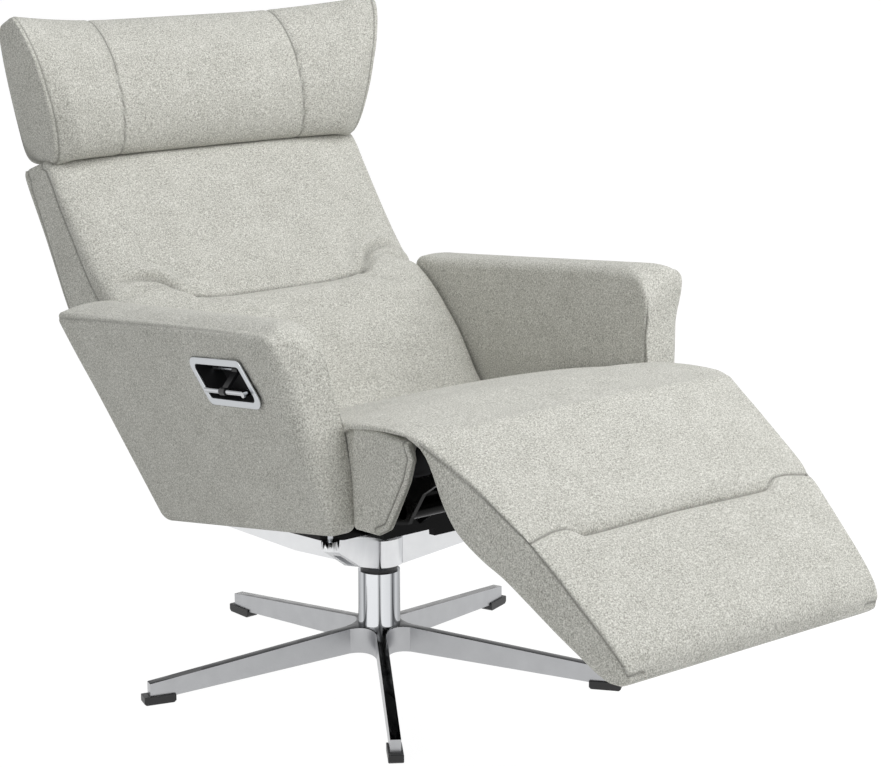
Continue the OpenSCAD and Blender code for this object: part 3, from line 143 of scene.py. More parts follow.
def round_edges(name, width):
    """Gives a CAD node the small rounded edge of a cast or pressed part, width metres across."""
    piece = nodes[name]
    weld = piece.modifiers.new("joined", "WELD")
    weld.merge_threshold = 0.00002
    bevel = piece.modifiers.new("rounded", "BEVEL")
    bevel.width = width
    bevel.segments = 3
    bevel.limit_method = "ANGLE"
    bevel.angle_limit = np.radians(32)
    bevel.harden_normals = True


round_edges("star_base", 0.0016)

# Glides and bushes
# Moulded black plastic: a shoe pressed on the end of each leg, and two bearing bushes in the column.
# The mould gives it a fine even grain.

moulded_black, tree = new_finish("moulded_black_plastic")
where = add_node(tree, "TexCoord").outputs["Object"]
grain = add_node(tree, "TexVoronoi", {"Vector": where, "Scale": 900})
wear = add_node(tree, "TexNoise", {"Vector": where, "Scale": 60, "Detail": 4})
tint = add_node(tree, "ValToRGB", {"Fac": wear.outputs["Fac"]})
tint.color_ramp.elements[0].color = linear("#111112")
tint.color_ramp.elements[1].color = linear("#1F1F21")
rough = add_node(tree, "MapRange", {"Value": wear.outputs["Fac"], "To Min": 0.34, "To Max": 0.52})
bump = add_node(tree, "Bump", {"Height": grain.outputs["Distance"], "Strength": 0.12,
                               "Distance": 0.0003})
plastic = add_node(tree, "BsdfPrincipled", {"Base Color": tint.outputs["Color"],
                                            "Roughness": rough.outputs["Result"], "IOR": 1.53,
                                            "Normal": bump.outputs["Normal"]})
add_node(tree, "OutputMaterial", {"Surface": plastic.outputs["BSDF"]})
give(moulded_black, "foot_glides", "lower_bush", "upper_bush", "lever_arm", "handle_cup")
round_edges("foot_glides", 0.0012)

# The washer under the spindle is milky nylon with faint turning marks
nylon, tree = new_finish("turned_nylon")
where = add_node(tree, "TexCoord").outputs["Object"]
rings = add_node(tree, "TexWave", {"Vector": where, "Scale": 300, "Distortion": 0.4},
                 wave_type="RINGS", rings_direction="Z")
bump = add_node(tree, "Bump", {"Height": rings.outputs["Fac"], "Strength": 0.08, "Distance": 0.0002})
milky = add_node(tree, "BsdfPrincipled", {"Base Color": linear("#DEDCD2"), "Roughness": 0.42,
                                          "IOR": 1.53, "Normal": bump.outputs["Normal"]})
add_node(tree, "OutputMaterial", {"Surface": milky.outputs["BSDF"]})
give(nylon, "thrust_washer")

# Column
# A steel tube, polished and chrome plated, with a trace of polishing haze. The dark and bright
# upright streaks on it are painted reflections of a studio, put into the base colour by the way
# that the surface faces across a fixed sideways direction. The lever bar carries the same paint.

chrome, tree = new_finish("chrome_plate")
where = add_node(tree, "TexCoord").outputs["Object"]
haze = add_node(tree, "TexNoise", {"Vector": where, "Scale": 90, "Detail": 5})
rough = add_node(tree, "MapRange", {"Value": haze.outputs["Fac"], "To Min": 0.03, "To Max": 0.10})
# The fixed sideways direction across which the painted reflections are laid
painted_streak_x, painted_streak_y = 0.778, -0.629
normal = add_node(tree, "NewGeometry").outputs["Normal"]
around = add_node(tree, "SeparateXYZ", {"Vector": normal})
across = add_node(tree, "Math", {0: around.outputs["X"], 1: painted_streak_x}, operation="MULTIPLY")
across = add_node(tree, "Math", {0: around.outputs["Y"], 1: painted_streak_y, 2: across.outputs["Value"]},
                  operation="MULTIPLY_ADD")
share = add_node(tree, "MapRange", {"Value": across.outputs["Value"], "From Min": -1})
# Painted reflections: dark and bright bands of base colour by the surface's direction.
painted_reflection_streaks = add_node(tree, "ValToRGB", {"Fac": share.outputs["Result"]})
painted_reflection_streaks.color_ramp.elements[0].color = linear("#77797C")
painted_reflection_streaks.color_ramp.elements[1].color = linear("#6E7073")
for at, code in ((0.11, "#C8CACD"), (0.17, "#66686B"), (0.22, "#E3E5E8"), (0.47, "#E3E5E8"),
                 (0.52, "#77797C"), (0.57, "#E3E5E8"), (0.76, "#D5D7DA"), (0.83, "#4E5053"),
                 (0.90, "#C8CACD")):
    painted_reflection_streaks.color_ramp.elements.new(at).color = linear(code)
plate = add_node(tree, "BsdfPrincipled", {"Base Color": painted_reflection_streaks.outputs["Color"], "Metallic": 1.0,
                                          "Roughness": rough.outputs["Result"]})
add_node(tree, "OutputMaterial", {"Surface": plate.outputs["BSDF"]})
give(chrome, "column_tube", "lever_bar")

# Yoke
# One aluminium casting with four rising arms, bolted under the mechanism. It is buffed all over, and
# is brighter than the star base.

# The third tone, #C9CACC, is a painted reflection on the yoke's upward faces.
give(cast_metal("buffed_cast_aluminium", "#D9DADC", "#EEEFF0", "#C9CACC"), "yoke")
round_edges("yoke", 0.0015)

# Bolts, pins and shafts
# Zinc-plated steel, turned, and plated in a barrel with many others. To the eye it is a grey metal
# with a faint mottled bloom.

zinc, tree = new_finish("zinc_plated_steel")
where = add_node(tree, "TexCoord").outputs["Object"]
bloom = add_node(tree, "TexNoise", {"Vector": where, "Scale": 260, "Detail": 4})
tint = add_node(tree, "ValToRGB", {"Fac": bloom.outputs["Fac"]})
tint.color_ramp.elements[0].color = linear("#A5A9AE")
tint.color_ramp.elements[1].color = linear("#D2D5D8")
rough = add_node(tree, "MapRange", {"Value": bloom.outputs["Fac"], "To Min": 0.20, "To Max": 0.38})
steel = add_node(tree, "BsdfPrincipled", {"Base Color": tint.outputs["Color"], "Metallic": 1.0,
                                          "Roughness": rough.outputs["Result"]})
add_node(tree, "OutputMaterial", {"Surface": steel.outputs["BSDF"]})
give(zinc, "retaining_washer", "spindle", "spindle_bolt", "yoke_bolts", "tilt_pins", "recline_pins",
     "arm_bolts", "lever_pin", "crank_shaft", "headrest_pins", "gas_spring_rod")

# Mechanism and frames
# Pressed and welded steel, powder coated in gloss black. The coat flows out to a slight orange peel,
# about 2.5 mm from crest to crest.

powder_black, tree = new_finish("gloss_black_powder_coat")
where = add_node(tree, "TexCoord").outputs["Object"]
peel = add_node(tree, "TexNoise", {"Vector": where, "Scale": 400, "Detail": 1})
dust = add_node(tree, "TexNoise", {"Vector": where, "Scale": 45, "Detail": 6})
tint = add_node(tree, "ValToRGB", {"Fac": dust.outputs["Fac"]})
tint.color_ramp.elements[0].color = linear("#020203")
tint.color_ramp.elements[1].color = linear("#070708")
rough = add_node(tree, "MapRange", {"Value": dust.outputs["Fac"], "To Min": 0.16, "To Max": 0.34})
bump = add_node(tree, "Bump", {"Height": peel.outputs["Fac"], "Strength": 0.10,
                               "Distance": 0.0004})
coat = add_node(tree, "BsdfPrincipled", {"Base Color": tint.outputs["Color"],
                                         "Roughness": rough.outputs["Result"], "IOR": 1.45,
                                         "Specular IOR Level": 0.12,
                                         "Normal": bump.outputs["Normal"]})
add_node(tree, "OutputMaterial", {"Surface": coat.outputs["BSDF"]})
give(powder_black, "mechanism_base", "seat_side_plates", "seat_cross_tubes", "knee_tube",
     "tilt_rails", "arm_brackets", "gas_spring_bracket", "gas_spring_cylinder", "back_frame",
     "push_rods", "headrest_hinges", "footrest_frame")
round_edges("mechanism_base", 0.0016)

# Webbing, boards and lining
# Elastic webbing is woven of black rubber and polypropylene, with ribs across the strap. A black
# spun lining covers the boards, and closes the seat from below and over the knee.

webbing, tree = new_finish("woven_elastic_webbing")
where = add_node(tree, "TexCoord").outputs["Object"]
ribs = add_node(tree, "TexWave", {"Vector": where, "Scale": 160, "Distortion": 0.3},
                bands_direction="X")
warp = add_node(tree, "TexWave", {"Vector": where, "Scale": 110, "Distortion": 0.3},
                bands_direction="Y")
weave = add_node(tree, "Math", {0: ribs.outputs["Fac"], 1: warp.outputs["Fac"]},
                 operation="MULTIPLY")
tint = add_node(tree, "ValToRGB", {"Fac": weave.outputs["Value"]})
tint.color_ramp.elements[0].color = linear("#151516")
tint.color_ramp.elements[1].color = linear("#3A3A3D")
bump = add_node(tree, "Bump", {"Height": weave.outputs["Value"], "Strength": 0.5,
                               "Distance": 0.0006})
strap = add_node(tree, "BsdfPrincipled", {"Base Color": tint.outputs["Color"], "Roughness": 0.8,
                                          "Normal": bump.outputs["Normal"]})
add_node(tree, "OutputMaterial", {"Surface": strap.outputs["BSDF"]})
give(webbing, "seat_webbing")

lining, tree = new_finish("black_spun_lining")
where = add_node(tree, "TexCoord").outputs["Object"]
fibre = add_node(tree, "TexNoise", {"Vector": where, "Scale": 700, "Detail": 4, "Roughness": 0.7})
tint = add_node(tree, "ValToRGB", {"Fac": fibre.outputs["Fac"]})
tint.color_ramp.elements[0].color = linear("#0C0C0D")
tint.color_ramp.elements[1].color = linear("#26262A")
bump = add_node(tree, "Bump", {"Height": fibre.outputs["Fac"], "Strength": 0.3, "Distance": 0.0005})
felt = add_node(tree, "BsdfPrincipled", {"Base Color": tint.outputs["Color"], "Roughness": 0.92,
                                         "Normal": bump.outputs["Normal"]})
add_node(tree, "OutputMaterial", {"Surface": felt.outputs["BSDF"]})
give(lining, "footrest_board", "headrest_plate")

# Release handle
# A satin bezel of pressed metal round a moulded cup, with a chrome-plated lever bar across it. The
# bezel is blasted, then clear coated, so its face is even and its rim catches the light.

satin, tree = new_finish("blasted_satin_metal")
where = add_node(tree, "TexCoord").outputs["Object"]
blast = add_node(tree, "TexNoise", {"Vector": where, "Scale": 1500, "Detail": 2})
bump = add_node(tree, "Bump", {"Height": blast.outputs["Fac"], "Strength": 0.10,
                               "Distance": 0.0002})
tint = add_node(tree, "ValToRGB", {"Fac": blast.outputs["Fac"]})
tint.color_ramp.elements[0].color = linear("#B2B5B8")
tint.color_ramp.elements[1].color = linear("#CBCED1")
face = add_node(tree, "BsdfPrincipled", {"Base Color": tint.outputs["Color"], "Metallic": 1.0,
                                         "Roughness": 0.32, "Normal": bump.outputs["Normal"]})
add_node(tree, "OutputMaterial", {"Surface": face.outputs["BSDF"]})
give(satin, "handle_bezel")
round_edges("handle_bezel", 0.0012)

# Headrest
# A foam pad on a board, with wings that come forward at both ends. Its cover has three panels sewn
# by two upright seams, and a boxing panel at each end.

# Wool and polyester cover cloth: a plain weave of thick yarns, 1.6 mm apart, spun from light and
# dark warm-grey fibres, so the cloth looks flecked. A short nap gives it a soft sheen.
cover_cloth, tree = new_finish("grey_melange_wool")
where = add_node(tree, "TexCoord").outputs["Object"]
fleck = add_node(tree, "TexNoise", {"Vector": where, "Scale": 540, "Detail": 3, "Roughness": 0.6})
fibres = add_node(tree, "TexNoise", {"Vector": where, "Scale": 1500, "Detail": 2, "Roughness": 0.6})
patch = add_node(tree, "TexNoise", {"Vector": where, "Scale": 26, "Detail": 3})
yarns = add_node(tree, "TexVoronoi", {"Vector": where, "Scale": 620})
mixed = add_node(tree, "Math", {0: fibres.outputs["Fac"], 1: 0.35, 2: fleck.outputs["Fac"]},
                 operation="MULTIPLY_ADD")
mixed = add_node(tree, "Math", {0: patch.outputs["Fac"], 1: 0.10, 2: mixed.outputs["Value"]},
                 operation="MULTIPLY_ADD")
shade = add_node(tree, "ValToRGB", {"Fac": mixed.outputs["Value"]})
shade.color_ramp.elements[0].color = linear("#8E8D85")
shade.color_ramp.elements[1].color = linear("#DFDED7")
shade.color_ramp.elements[0].position = 0.54
shade.color_ramp.elements[1].position = 0.90
shade.color_ramp.elements.new(0.70).color = linear("#B8B7AF")
# Painted shade: the stored seam attribute darkens the cloth towards #6E6D67 along seams, stitches and
# creases.
painted_seam_shade = add_node(tree, "Attribute", attribute_name="seam")
painted_shade = add_node(tree, "Mix", {0: painted_seam_shade.outputs["Fac"], 6: shade.outputs["Color"],
                              7: linear("#6E6D67")}, data_type="RGBA")
height = add_node(tree, "Math", {0: yarns.outputs["Distance"], 1: -0.6, 2: fibres.outputs["Fac"]},
                  operation="MULTIPLY_ADD")
bump = add_node(tree, "Bump", {"Height": height.outputs["Value"], "Strength": 0.35,
                               "Distance": 0.0008})
cloth = add_node(tree, "BsdfPrincipled", {"Base Color": painted_shade.outputs[2], "Roughness": 0.93,
                                          "IOR": 1.45, "Sheen Weight": 0.12, "Sheen Roughness": 0.5,
                                          "Normal": bump.outputs["Normal"]})
add_node(tree, "OutputMaterial", {"Surface": cloth.outputs["BSDF"]})


def smooth(t):
    """Rises from 0 to 1 along t with level ends: 3tt - 2ttt, held outside 0 to 1."""
    t = np.clip(t, 0, 1)
    return t * t * (3 - 2 * t)


def power(s, e):
    """A power of the size of s that keeps its sign."""
    return np.sign(s) * np.abs(s) ** e


def through(x, table):
    """The height at x of a smooth curve through the table's points, which doesn't overshoot them:
    cubic stretches whose slope at each point is the harmonic mean of its neighbours' slopes."""
    xs, ys = np.array(table, float).T
    gap = np.diff(xs)
    rise = np.diff(ys) / gap
    slope = np.zeros(len(xs))
    both = rise[:-1] * rise[1:]
    slope[1:-1] = np.where(both > 0, 2 * both / np.where(both > 0, rise[:-1] + rise[1:], 1), 0)
    slope[0], slope[-1] = rise[0], rise[-1]
    x = np.clip(x, xs[0], xs[-1])
    i = np.clip(np.searchsorted(xs, x) - 1, 0, len(gap) - 1)
    t = (x - xs[i]) / gap[i]
    return (ys[i] * (1 + 2 * t) * (1 - t) ** 2 + gap[i] * slope[i] * t * (1 - t) ** 2
            + ys[i + 1] * t * t * (3 - 2 * t) + gap[i] * slope[i + 1] * t * t * (t - 1))


def even_rings(rings, count, close=None):
    """The same closed rings with count points each, spaced evenly along them, or the closer the
    higher close is there. Columns past the third are carried along."""
    closed = np.concatenate([rings, rings[:, :1]], axis=1)
    step = np.linalg.norm(np.diff(closed[:, :, :3], axis=1), axis=2)
    step = step if close is None else step * close
    run = np.concatenate([np.zeros((len(rings), 1)), np.cumsum(step, axis=1)], axis=1)
    share = np.arange(count) / count
    return np.stack([
        np.stack([np.interp(share * r[-1], r, column) for column in ring.T], axis=1)
        for r, ring in zip(run, closed)])


def closed_skin(name, rings, finish):
    """A piece whose closed rings are joined by four-sided faces, with a fan on each end. Where the
    rings run the other way round, its faces are turned over, so that they always look outwards."""
    rows, count = rings.shape[:2]
    points = np.concatenate([rings.reshape(-1, 3), rings[[0, -1]].mean(axis=1)]) / 1000
    a = (np.arange(rows - 1)[:, None] * count + np.arange(count)).ravel()
    b = (np.arange(rows - 1)[:, None] * count + (np.arange(count) + 1) % count).ravel()
    quads = np.stack([a, b, b + count, a + count], axis=1)
    j = np.arange(count)
    k = (j + 1) % count
    low, high = rows * count, rows * count + 1
    last = (rows - 1) * count
    fans = np.concatenate([np.stack([0 * j + low, k, j], axis=1),
                           np.stack([0 * j + high, last + j, last + k], axis=1)])
    mesh = bpy.data.meshes.new(name)
    mesh.from_pydata(points, [], quads.tolist() + fans.tolist())
    c = points[quads]
    spread = np.cross(c[:, 1], c[:, 2]) + np.cross(c[:, 2], c[:, 3])
    volume = np.einsum("ij,ij->i", c[:, 0], spread).sum()
    if volume < 0:
        mesh.flip_normals()
    mesh.polygons.foreach_set("use_smooth", np.ones(len(mesh.polygons), bool))
    mesh.materials.append(finish)
    piece = bpy.data.objects.new(name, mesh)
    bpy.context.scene.collection.objects.link(piece)
    return piece


def points_of(piece):
    """The piece's vertices and their outward normals, in millimetres."""
    mesh = piece.data
    place = np.empty(3 * len(mesh.vertices))
    mesh.vertices.foreach_get("co", place)
    normal = np.empty(3 * len(mesh.vertices))
    mesh.vertex_normals.foreach_get("vector", normal)
    return place.reshape(-1, 3) * 1000, normal.reshape(-1, 3)


def put_points(piece, place):
    """Moves the piece's vertices to places in millimetres."""
    piece.data.vertices.foreach_set("co", (place / 1000).astype(np.float32).ravel())
    piece.data.update()


def sew(piece, inward, painted_shade):
    """Pulls each vertex in along its normal by so many millimetres, and stores how much painted shade
    it gets, as the seam attribute that the cloth mixes into its colour.
    """
    place, normal = points_of(piece)
    put_points(piece, place - normal * inward[:, None])
    seam = piece.data.attributes.get("seam") or piece.data.attributes.new("seam", "FLOAT", "POINT")
    seam.data.foreach_set("value", np.clip(painted_shade, 0, 1).astype(np.float32))


def bell(distance, half):
    """1 on a line, falling off on both sides as e to the minus square of distance over half."""
    return np.exp(-(distance / half) ** 2)


def stitch(distance, depth, half):
    """A sewn groove: how deep it is, and how much painted shade falls on its line, at a distance from
    its line.
    """
    return depth * bell(distance, half), 0.75 * bell(distance, 1.6)


def side_view(origin, lean):
    """Functions from a leaning frame, v up it and f out of its front, to y and z, and back."""
    s, c = np.sin(np.radians(lean)), np.cos(np.radians(lean))
    return (
        lambda v, f: (origin[0] + v * s - f * c, origin[1] + v * c + f * s),
        lambda y, z: ((y - origin[0]) * s + (z - origin[1]) * c,
                      -(y - origin[0]) * c + (z - origin[1]) * s))


hip = (95, 325)
in_back, of_back = side_view(hip, 38)
head_hinge = in_back(502.5, -9.7)
in_head, of_head = side_view(head_hinge, 24)

head_half_w, head_low_v, head_h, head_t = 311, -34, 205, 74
head_seam_x, topstitch_x = 154, 158.5
head_low_w = 0.83  # the width of the pad's lower edge over that of its upper edge


def head_rings():
    """The pad's rings, each at a share s of the half width. A ring is a rounded box between the rear
    and the front, which both come forward towards the ends as a power of s. The front is crowned."""
    turn = np.linspace(0, 0.5 * np.pi, 12)
    corner = 10 / head_half_w
    near_seam = np.arange(head_seam_x - 8, head_seam_x + 12, 0.9) / head_half_w
    main = np.unique(np.concatenate([np.linspace(0, 1 - corner, 84), near_seam]))
    k = np.linspace(0, 1, 13)[1:]
    s_half = np.concatenate([main, 1 - corner + corner * np.sin(turn[1:]), np.ones(12)])
    pull = np.concatenate([0 * main, (1 - np.cos(turn[1:])) * 0.10, 0.10 + 0.88 * k])
    puff = np.concatenate([0 * main, 0 * turn[1:], 5 * (1 - (1 - k) ** 2)])
    s = np.concatenate([-s_half[:0:-1], s_half])[:, None]
    tight = 1 - np.concatenate([pull[:0:-1], pull])[:, None]
    puff = np.concatenate([puff[:0:-1], puff])[:, None]
    a = -2 * np.pi * (np.arange(720) + 0.5) / 720
    w = np.maximum(0, (np.abs(s) - 0.38) / 0.62) ** 1.6
    up = 0.5 + 0.5 * tight * power(np.sin(a), np.where(np.sin(a) > 0, 0.32, 0.24))
    g = 0.5 + 0.5 * tight * power(np.cos(a), 0.30)
    v = (head_low_v + 29 * (1 - g) - 5 * w) * (1 - up) + (head_low_v + head_h - 10 * w) * up
    crown = 38 * (1 - 0.68 * w) * (4 * up * (1 - up)) ** 0.9
    tucked = 21 * smooth((np.abs(s) - 0.86) / 0.14) * (1 - up)
    front = 14 + 68 * (1 - 0.75 * (1 - up) ** 2) * w + crown - tucked
    rear_mid = 14 - head_t * (0.94 - 0.14 * up)
    rear_end = head_t * (-0.97 + 1.39 * up ** 1.2)
    rear = rear_mid + (rear_end - rear_mid) * w
    y, z = in_head(v, rear + (front - rear) * g)
    x = (s * head_half_w + np.sign(s) * puff) * (head_low_w + (1 - head_low_w) * up)
    return even_rings(np.stack(np.broadcast_arrays(x, y, z), axis=2), 250)


headrest = closed_skin("headrest_cover", head_rings(), cover_cloth)
place, _ = points_of(headrest)
v, f = of_head(place[:, 1], place[:, 2])
x = np.abs(place[:, 0])
width = np.interp(v, [head_low_v, head_low_v + head_h], [head_low_w, 1])
# Painted shade darkens the side seams' lines, dashes along the topstitch beside them, and the end
# seams' lines.
depth, painted_shade = stitch(x - head_seam_x, 1.6, 3.5)
threads = 0.5 + 0.5 * np.cos(2 * np.pi * (v + 0.4 * f) / 5.5)
painted_shade = painted_shade + 0.45 * threads * bell(x - topstitch_x, 1.0)
end = x / width - (head_half_w - 5)
end_depth, end_painted_shade = stitch(end, 1.0, 2.6)
sew(headrest, depth + end_depth, painted_shade + 0.9 * end_painted_shade)
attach(headrest, "headrest")
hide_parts("headrest")

# Back
# One foam pad moulded over the steel frame, with a sewn channel that holds it in above the lumbar
# roll, a side panel all round, and a separate rear panel closed by a seam.

back_h = 462
low_half_w = 184
back_table = np.array([
    # height, front, rear, side seam, half width at the seam
    [-59, 12, -15, 0, 184], [-46, 33, -40, 8, 184], [-23, 50, -57, 14, 184], [8, 56, -70, 24, 246],
    [26, 55, -83, 24, 246], [36, 54, -88, 24, 246], [55, 54, -97, 24, 247], [93, 54, -101, 23, 249],
    [150, 50, -109, 12, 250.5], [185, 43, -114, 3, 252], [208, 34, -117, -5, 254],
    [222, 25, -118, -10, 256], [235, 17, -119, -20, 257.5], [250, 11, -119.5, -32, 259],
    [266, 6, -119, -37, 260.5], [300, 0, -115, -39, 262], [364, -6, -103, -37, 263.5],
    [424, -9, -92, -34, 265], [453, -11, -88, -31, 265.5], [467, -14, -86, -31, 265],
    [475, -22, -82, -36, 263]])


def pinch_v(x):
    """How high the pinched seam runs: level in the middle, and lifted towards its ends."""
    return 230 + 5 * smooth((np.abs(x) - 80) / 76)


def from_side(side, front, rear, forward, crown):
    """From the side seam out to the front where forward holds, and else to the rear."""
    return side + np.where(forward, front - side, rear - side) * crown


def back_rings():
    """Rings up the back. A ring is a rounded box, crowned in front of the side seam and square
    behind it. The lower end, which turns inside the mechanism, is narrow."""
    v = np.concatenate([
        np.linspace(-59, 36, 36)[:-1], np.linspace(36, 200, 60)[:-1], np.linspace(200, 262, 52)[:-1],
        np.linspace(262, 450, 62)[:-1], np.linspace(450, 475, 20)])[:, None]
    front, rear, seam, half = (through(v, back_table[:, [0, k]]) for k in (1, 2, 3, 4))
    a = 2 * np.pi * (np.arange(720) + 0.5) / 720
    forward = np.sin(a) > 0
    half = np.where(v < 8, low_half_w, half)
    rear_half = np.where(v < 28, low_half_w, half + 8 * smooth((v - 180) / 120))
    crown = np.abs(np.sin(a)) ** np.where(forward, 0.52, 0.14)
    round_front = 0.34 + 0.12 * smooth((v - 200) / 60)
    x = np.where(forward, half * power(np.cos(a), round_front),
                 (half + (rear_half - half) * crown) * power(np.cos(a), 0.12))
    f = from_side(seam, front, rear, forward, crown)
    up = v - 0.28 * f * smooth((v / back_h - 0.84) / 0.14)
    y, z = in_back(up, f)
    rings = np.stack(np.broadcast_arrays(x, y, z), axis=2)
    return even_rings(rings, 340, 1 + 1.6 * smooth((np.abs(x) - half + 60) / 40))


def to_line(a, b, points):
    """The distance of points (a, b) from a line of straight stretches, and their share along it."""
    points = np.array(points, float)
    best, share = np.full(a.shape, 1e9), np.zeros(a.shape)
    for i, (p, q) in enumerate(zip(points[:-1], points[1:])):
        d = q - p
        t = np.clip(((a - p[0]) * d[0] + (b - p[1]) * d[1]) / (d @ d), 0, 1)
        gap = np.hypot(a - p[0] - t * d[0], b - p[1] - t * d[1])
        share = np.where(gap < best, (i + t) / (len(points) - 1), share)
        best = np.minimum(best, gap)
    return best, share


back = closed_skin("back_cover", back_rings(), cover_cloth)
place, _ = points_of(back)
x = place[:, 0]
v, f = of_back(place[:, 1], place[:, 2])
seam_f = through(v, back_table[:, [0, 3]])
panel = np.where(np.abs(x) > 150, np.abs(f - seam_f), 99)
rear_f = through(v, back_table[:, [0, 2]])
rear_line = np.where(np.abs(x) > 150, np.abs(f - rear_f - 13), 99)  # the rear panel's seam
# The side and rear seams get painted shade along their lines.
depth, painted_shade = stitch(np.minimum(panel, rear_line), 1.4, 3.2)
facing = smooth((f + 30) / 25)
held = smooth((160 - np.abs(x)) / 16)
pinch = np.abs(v - pinch_v(x))
pull = facing * held * (13 * np.exp(-(pinch / 17) ** 1.3) + 4 * bell(pinch, 2.4))
# Painted shade along the pinched seam.
painted_shade = painted_shade + facing * held * 0.8 * bell(pinch, 2.0)
# Creases run out from both ends of the pinched seam, and the cloth swells beyond each. They are given
# as points (distance from the middle, height), depth and half width.
folds = [
    ([(150, 234), (163, 247), (172, 258), (187, 267), (208, 272), (250, 274)], 10, 6),
    ([(158, 234), (182, 249), (206, 256), (232, 254)], 3.5, 6),
    ([(212, 247), (246, 245), (274, 235)], 2.5, 5),
    ([(140, 248), (158, 276), (166, 306)], 2.5, 12),
    ([(136, 216), (176, 200), (224, 192)], 1.5, 12)]
for line, deep, wide in folds:
    for side in (-1, 1):
        gap, along = to_line(x * side, v, line)
        share = facing * np.sin(np.pi * np.clip(0.12 + 0.88 * along, 0, 1)) ** 0.7
        swell = 0.45 * bell(gap - 2.4 * wide, 1.3 * wide)
        pull = pull + share * deep * (bell(gap, wide) - swell)
        # Painted shadow along each crease line.
        painted_shade = painted_shade + 0.06 * deep * share * bell(gap, 0.6 * wide)
sew(back, depth + pull, painted_shade)
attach(back, "backrest")
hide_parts("back_cushion", "back_shell")

# Seat and footrest cover
# The seat and the footrest share one cover, which runs on over the knee, so that no gap opens
# there. A pinch seam crosses the footrest, and a side seam follows its edge.

knee = (-392, 412)
foot_slope = np.radians(33.8)
foot_s, foot_c = np.sin(foot_slope), np.cos(foot_slope)


def foot_place(u, n):
    """The y and z of a point u along the footrest from the knee and n above its line."""
    return knee[0] - u * foot_c - n * foot_s, knee[1] - u * foot_s + n * foot_c


def foot_local(y, z):
    """How far along the footrest from the knee a point lies, and how far above its line."""
    return (-(y - knee[0]) * foot_c - (z - knee[1]) * foot_s,
            -(y - knee[0]) * foot_s + (z - knee[1]) * foot_c)


seat_rows = [
    # top y, z; side seam y, z; underside y, z; half width at the seam, at the underside
    [64, 346, 64, 344, 58, 341, 240, 240], [62, 356, 64, 346, 57, 335, 241, 241],
    [50, 367, 50, 354, 50, 330, 242, 242], [0, 383, 0, 368, 0, 350, 243, 243],
    [-80, 410, -80, 394, -80, 376, 243, 243], [-160, 435, -160, 418, -160, 398, 243, 243],
    [-225, 448, -225, 432, -225, 414, 243, 243], [-250, 453, -250, 434, -250, 422, 243.5, 243.5],
    [-259, 456, -259, 437, -259, 432, 244.5, 244.5], [-266, 459, -266, 440, -266, 436, 255, 255],
    [-276, 461.5, -276, 443.5, -276, 441.5, 258.6, 258.4],
    [-300, 465, -300, 448.5, -300, 446.5, 259.2, 258.8],
    [-345, 466.5, -343, 455, -344, 453, 259.2, 258.8],
    [-380, 465.5, -380, 457.6, -386, 455, 258.4, 258.2]]
foot_rows = [
    # distance u and height n of the top, of the side seam and of the underside; half width at the two
    [-7, 60.5, -14, 39, -20, 36, 257, 257.2], [9, 62, 4, 44, -5, 36, 253, 254],
    [24, 63, 20, 46.5, 8, 33, 250, 252.5], [44, 64.5, 40, 50, 26, 24, 246.5, 252],
    [62, 65.5, 60, 53, 44, 12, 243.5, 251], [80, 66.5, 79, 55.5, 66, 0, 240.5, 250],
    [98, 67.5, 98, 57.5, 94, -8, 238, 248.5], [140, 69.5, 140, 61, 140, -7, 233.5, 243.5],
    [172, 70, 172, 63, 172, -2, 230, 238.5], [215, 69.5, 215, 60.5, 215, -0.5, 224, 231.5],
    [262, 67, 262, 56, 262, 1, 219, 224.5], [300, 64, 300, 52, 300, 2.5, 214.5, 217.5],
    [330, 59.5, 330, 47.5, 330, 5, 210.5, 212.5], [346, 53, 347, 43.5, 346, 9, 207.5, 208.5],
    [356, 43.5, 357, 37.5, 356, 16, 204.5, 205], [361, 32, 361, 30.5, 361, 26, 201, 201]]


def run_of(rows):
    """How far each row lies along the top from the first one."""
    return np.concatenate([[0], np.cumsum(np.hypot(np.diff(rows[:, 0]), np.diff(rows[:, 1])))])


def columns_at(fine, run, rows):
    """Each column of the rows at finer places along the run."""
    return [through(fine, np.stack([run, column], axis=1)) for column in rows.T]


def cover_rings():
    """Rings along the seat and the footrest. Each is crowned over the side seam and square below."""
    rows = list(seat_rows)
    for r in foot_rows:
        top, side, underside = (foot_place(r[k], r[k + 1]) for k in (0, 2, 4))
        rows.append([*top, *side, *underside, *r[6:]])
    rows = np.array(rows, float)
    run = run_of(rows)
    knee_run = run[len(seat_rows)]
    near_pinch = knee_run + np.arange(140, 205, 1.2)
    fine = np.unique(np.concatenate([np.arange(0, run[-1], 3.4), near_pinch, run]))[:, None]
    ty, tz, sy, sz, uy, uz, half, low_half = columns_at(fine, run, rows)
    a = 2 * np.pi * (np.arange(720) + 0.5) / 720
    above = np.sin(a) > 0
    crown = np.abs(np.sin(a)) ** np.where(above, 0.46, 0.1)
    at_knee = smooth(1 - np.abs(fine - knee_run) / 110)
    x = np.where(above, half * power(np.cos(a), 0.36 + 0.24 * at_knee),
                 (half + (low_half - half) * np.minimum(1, 2.5 * crown)) * power(np.cos(a), 0.09))
    crown = np.where(above, crown * (1 - 0.42 * (x / half) ** 2), crown)
    y, z = from_side(sy, ty, uy, above, crown), from_side(sz, tz, uz, above, crown)
    rings = np.stack(np.broadcast_arrays(x, y, z), axis=2)
    return even_rings(rings, 330, 1 + 1.4 * smooth((np.abs(x) - half + 50) / 35))


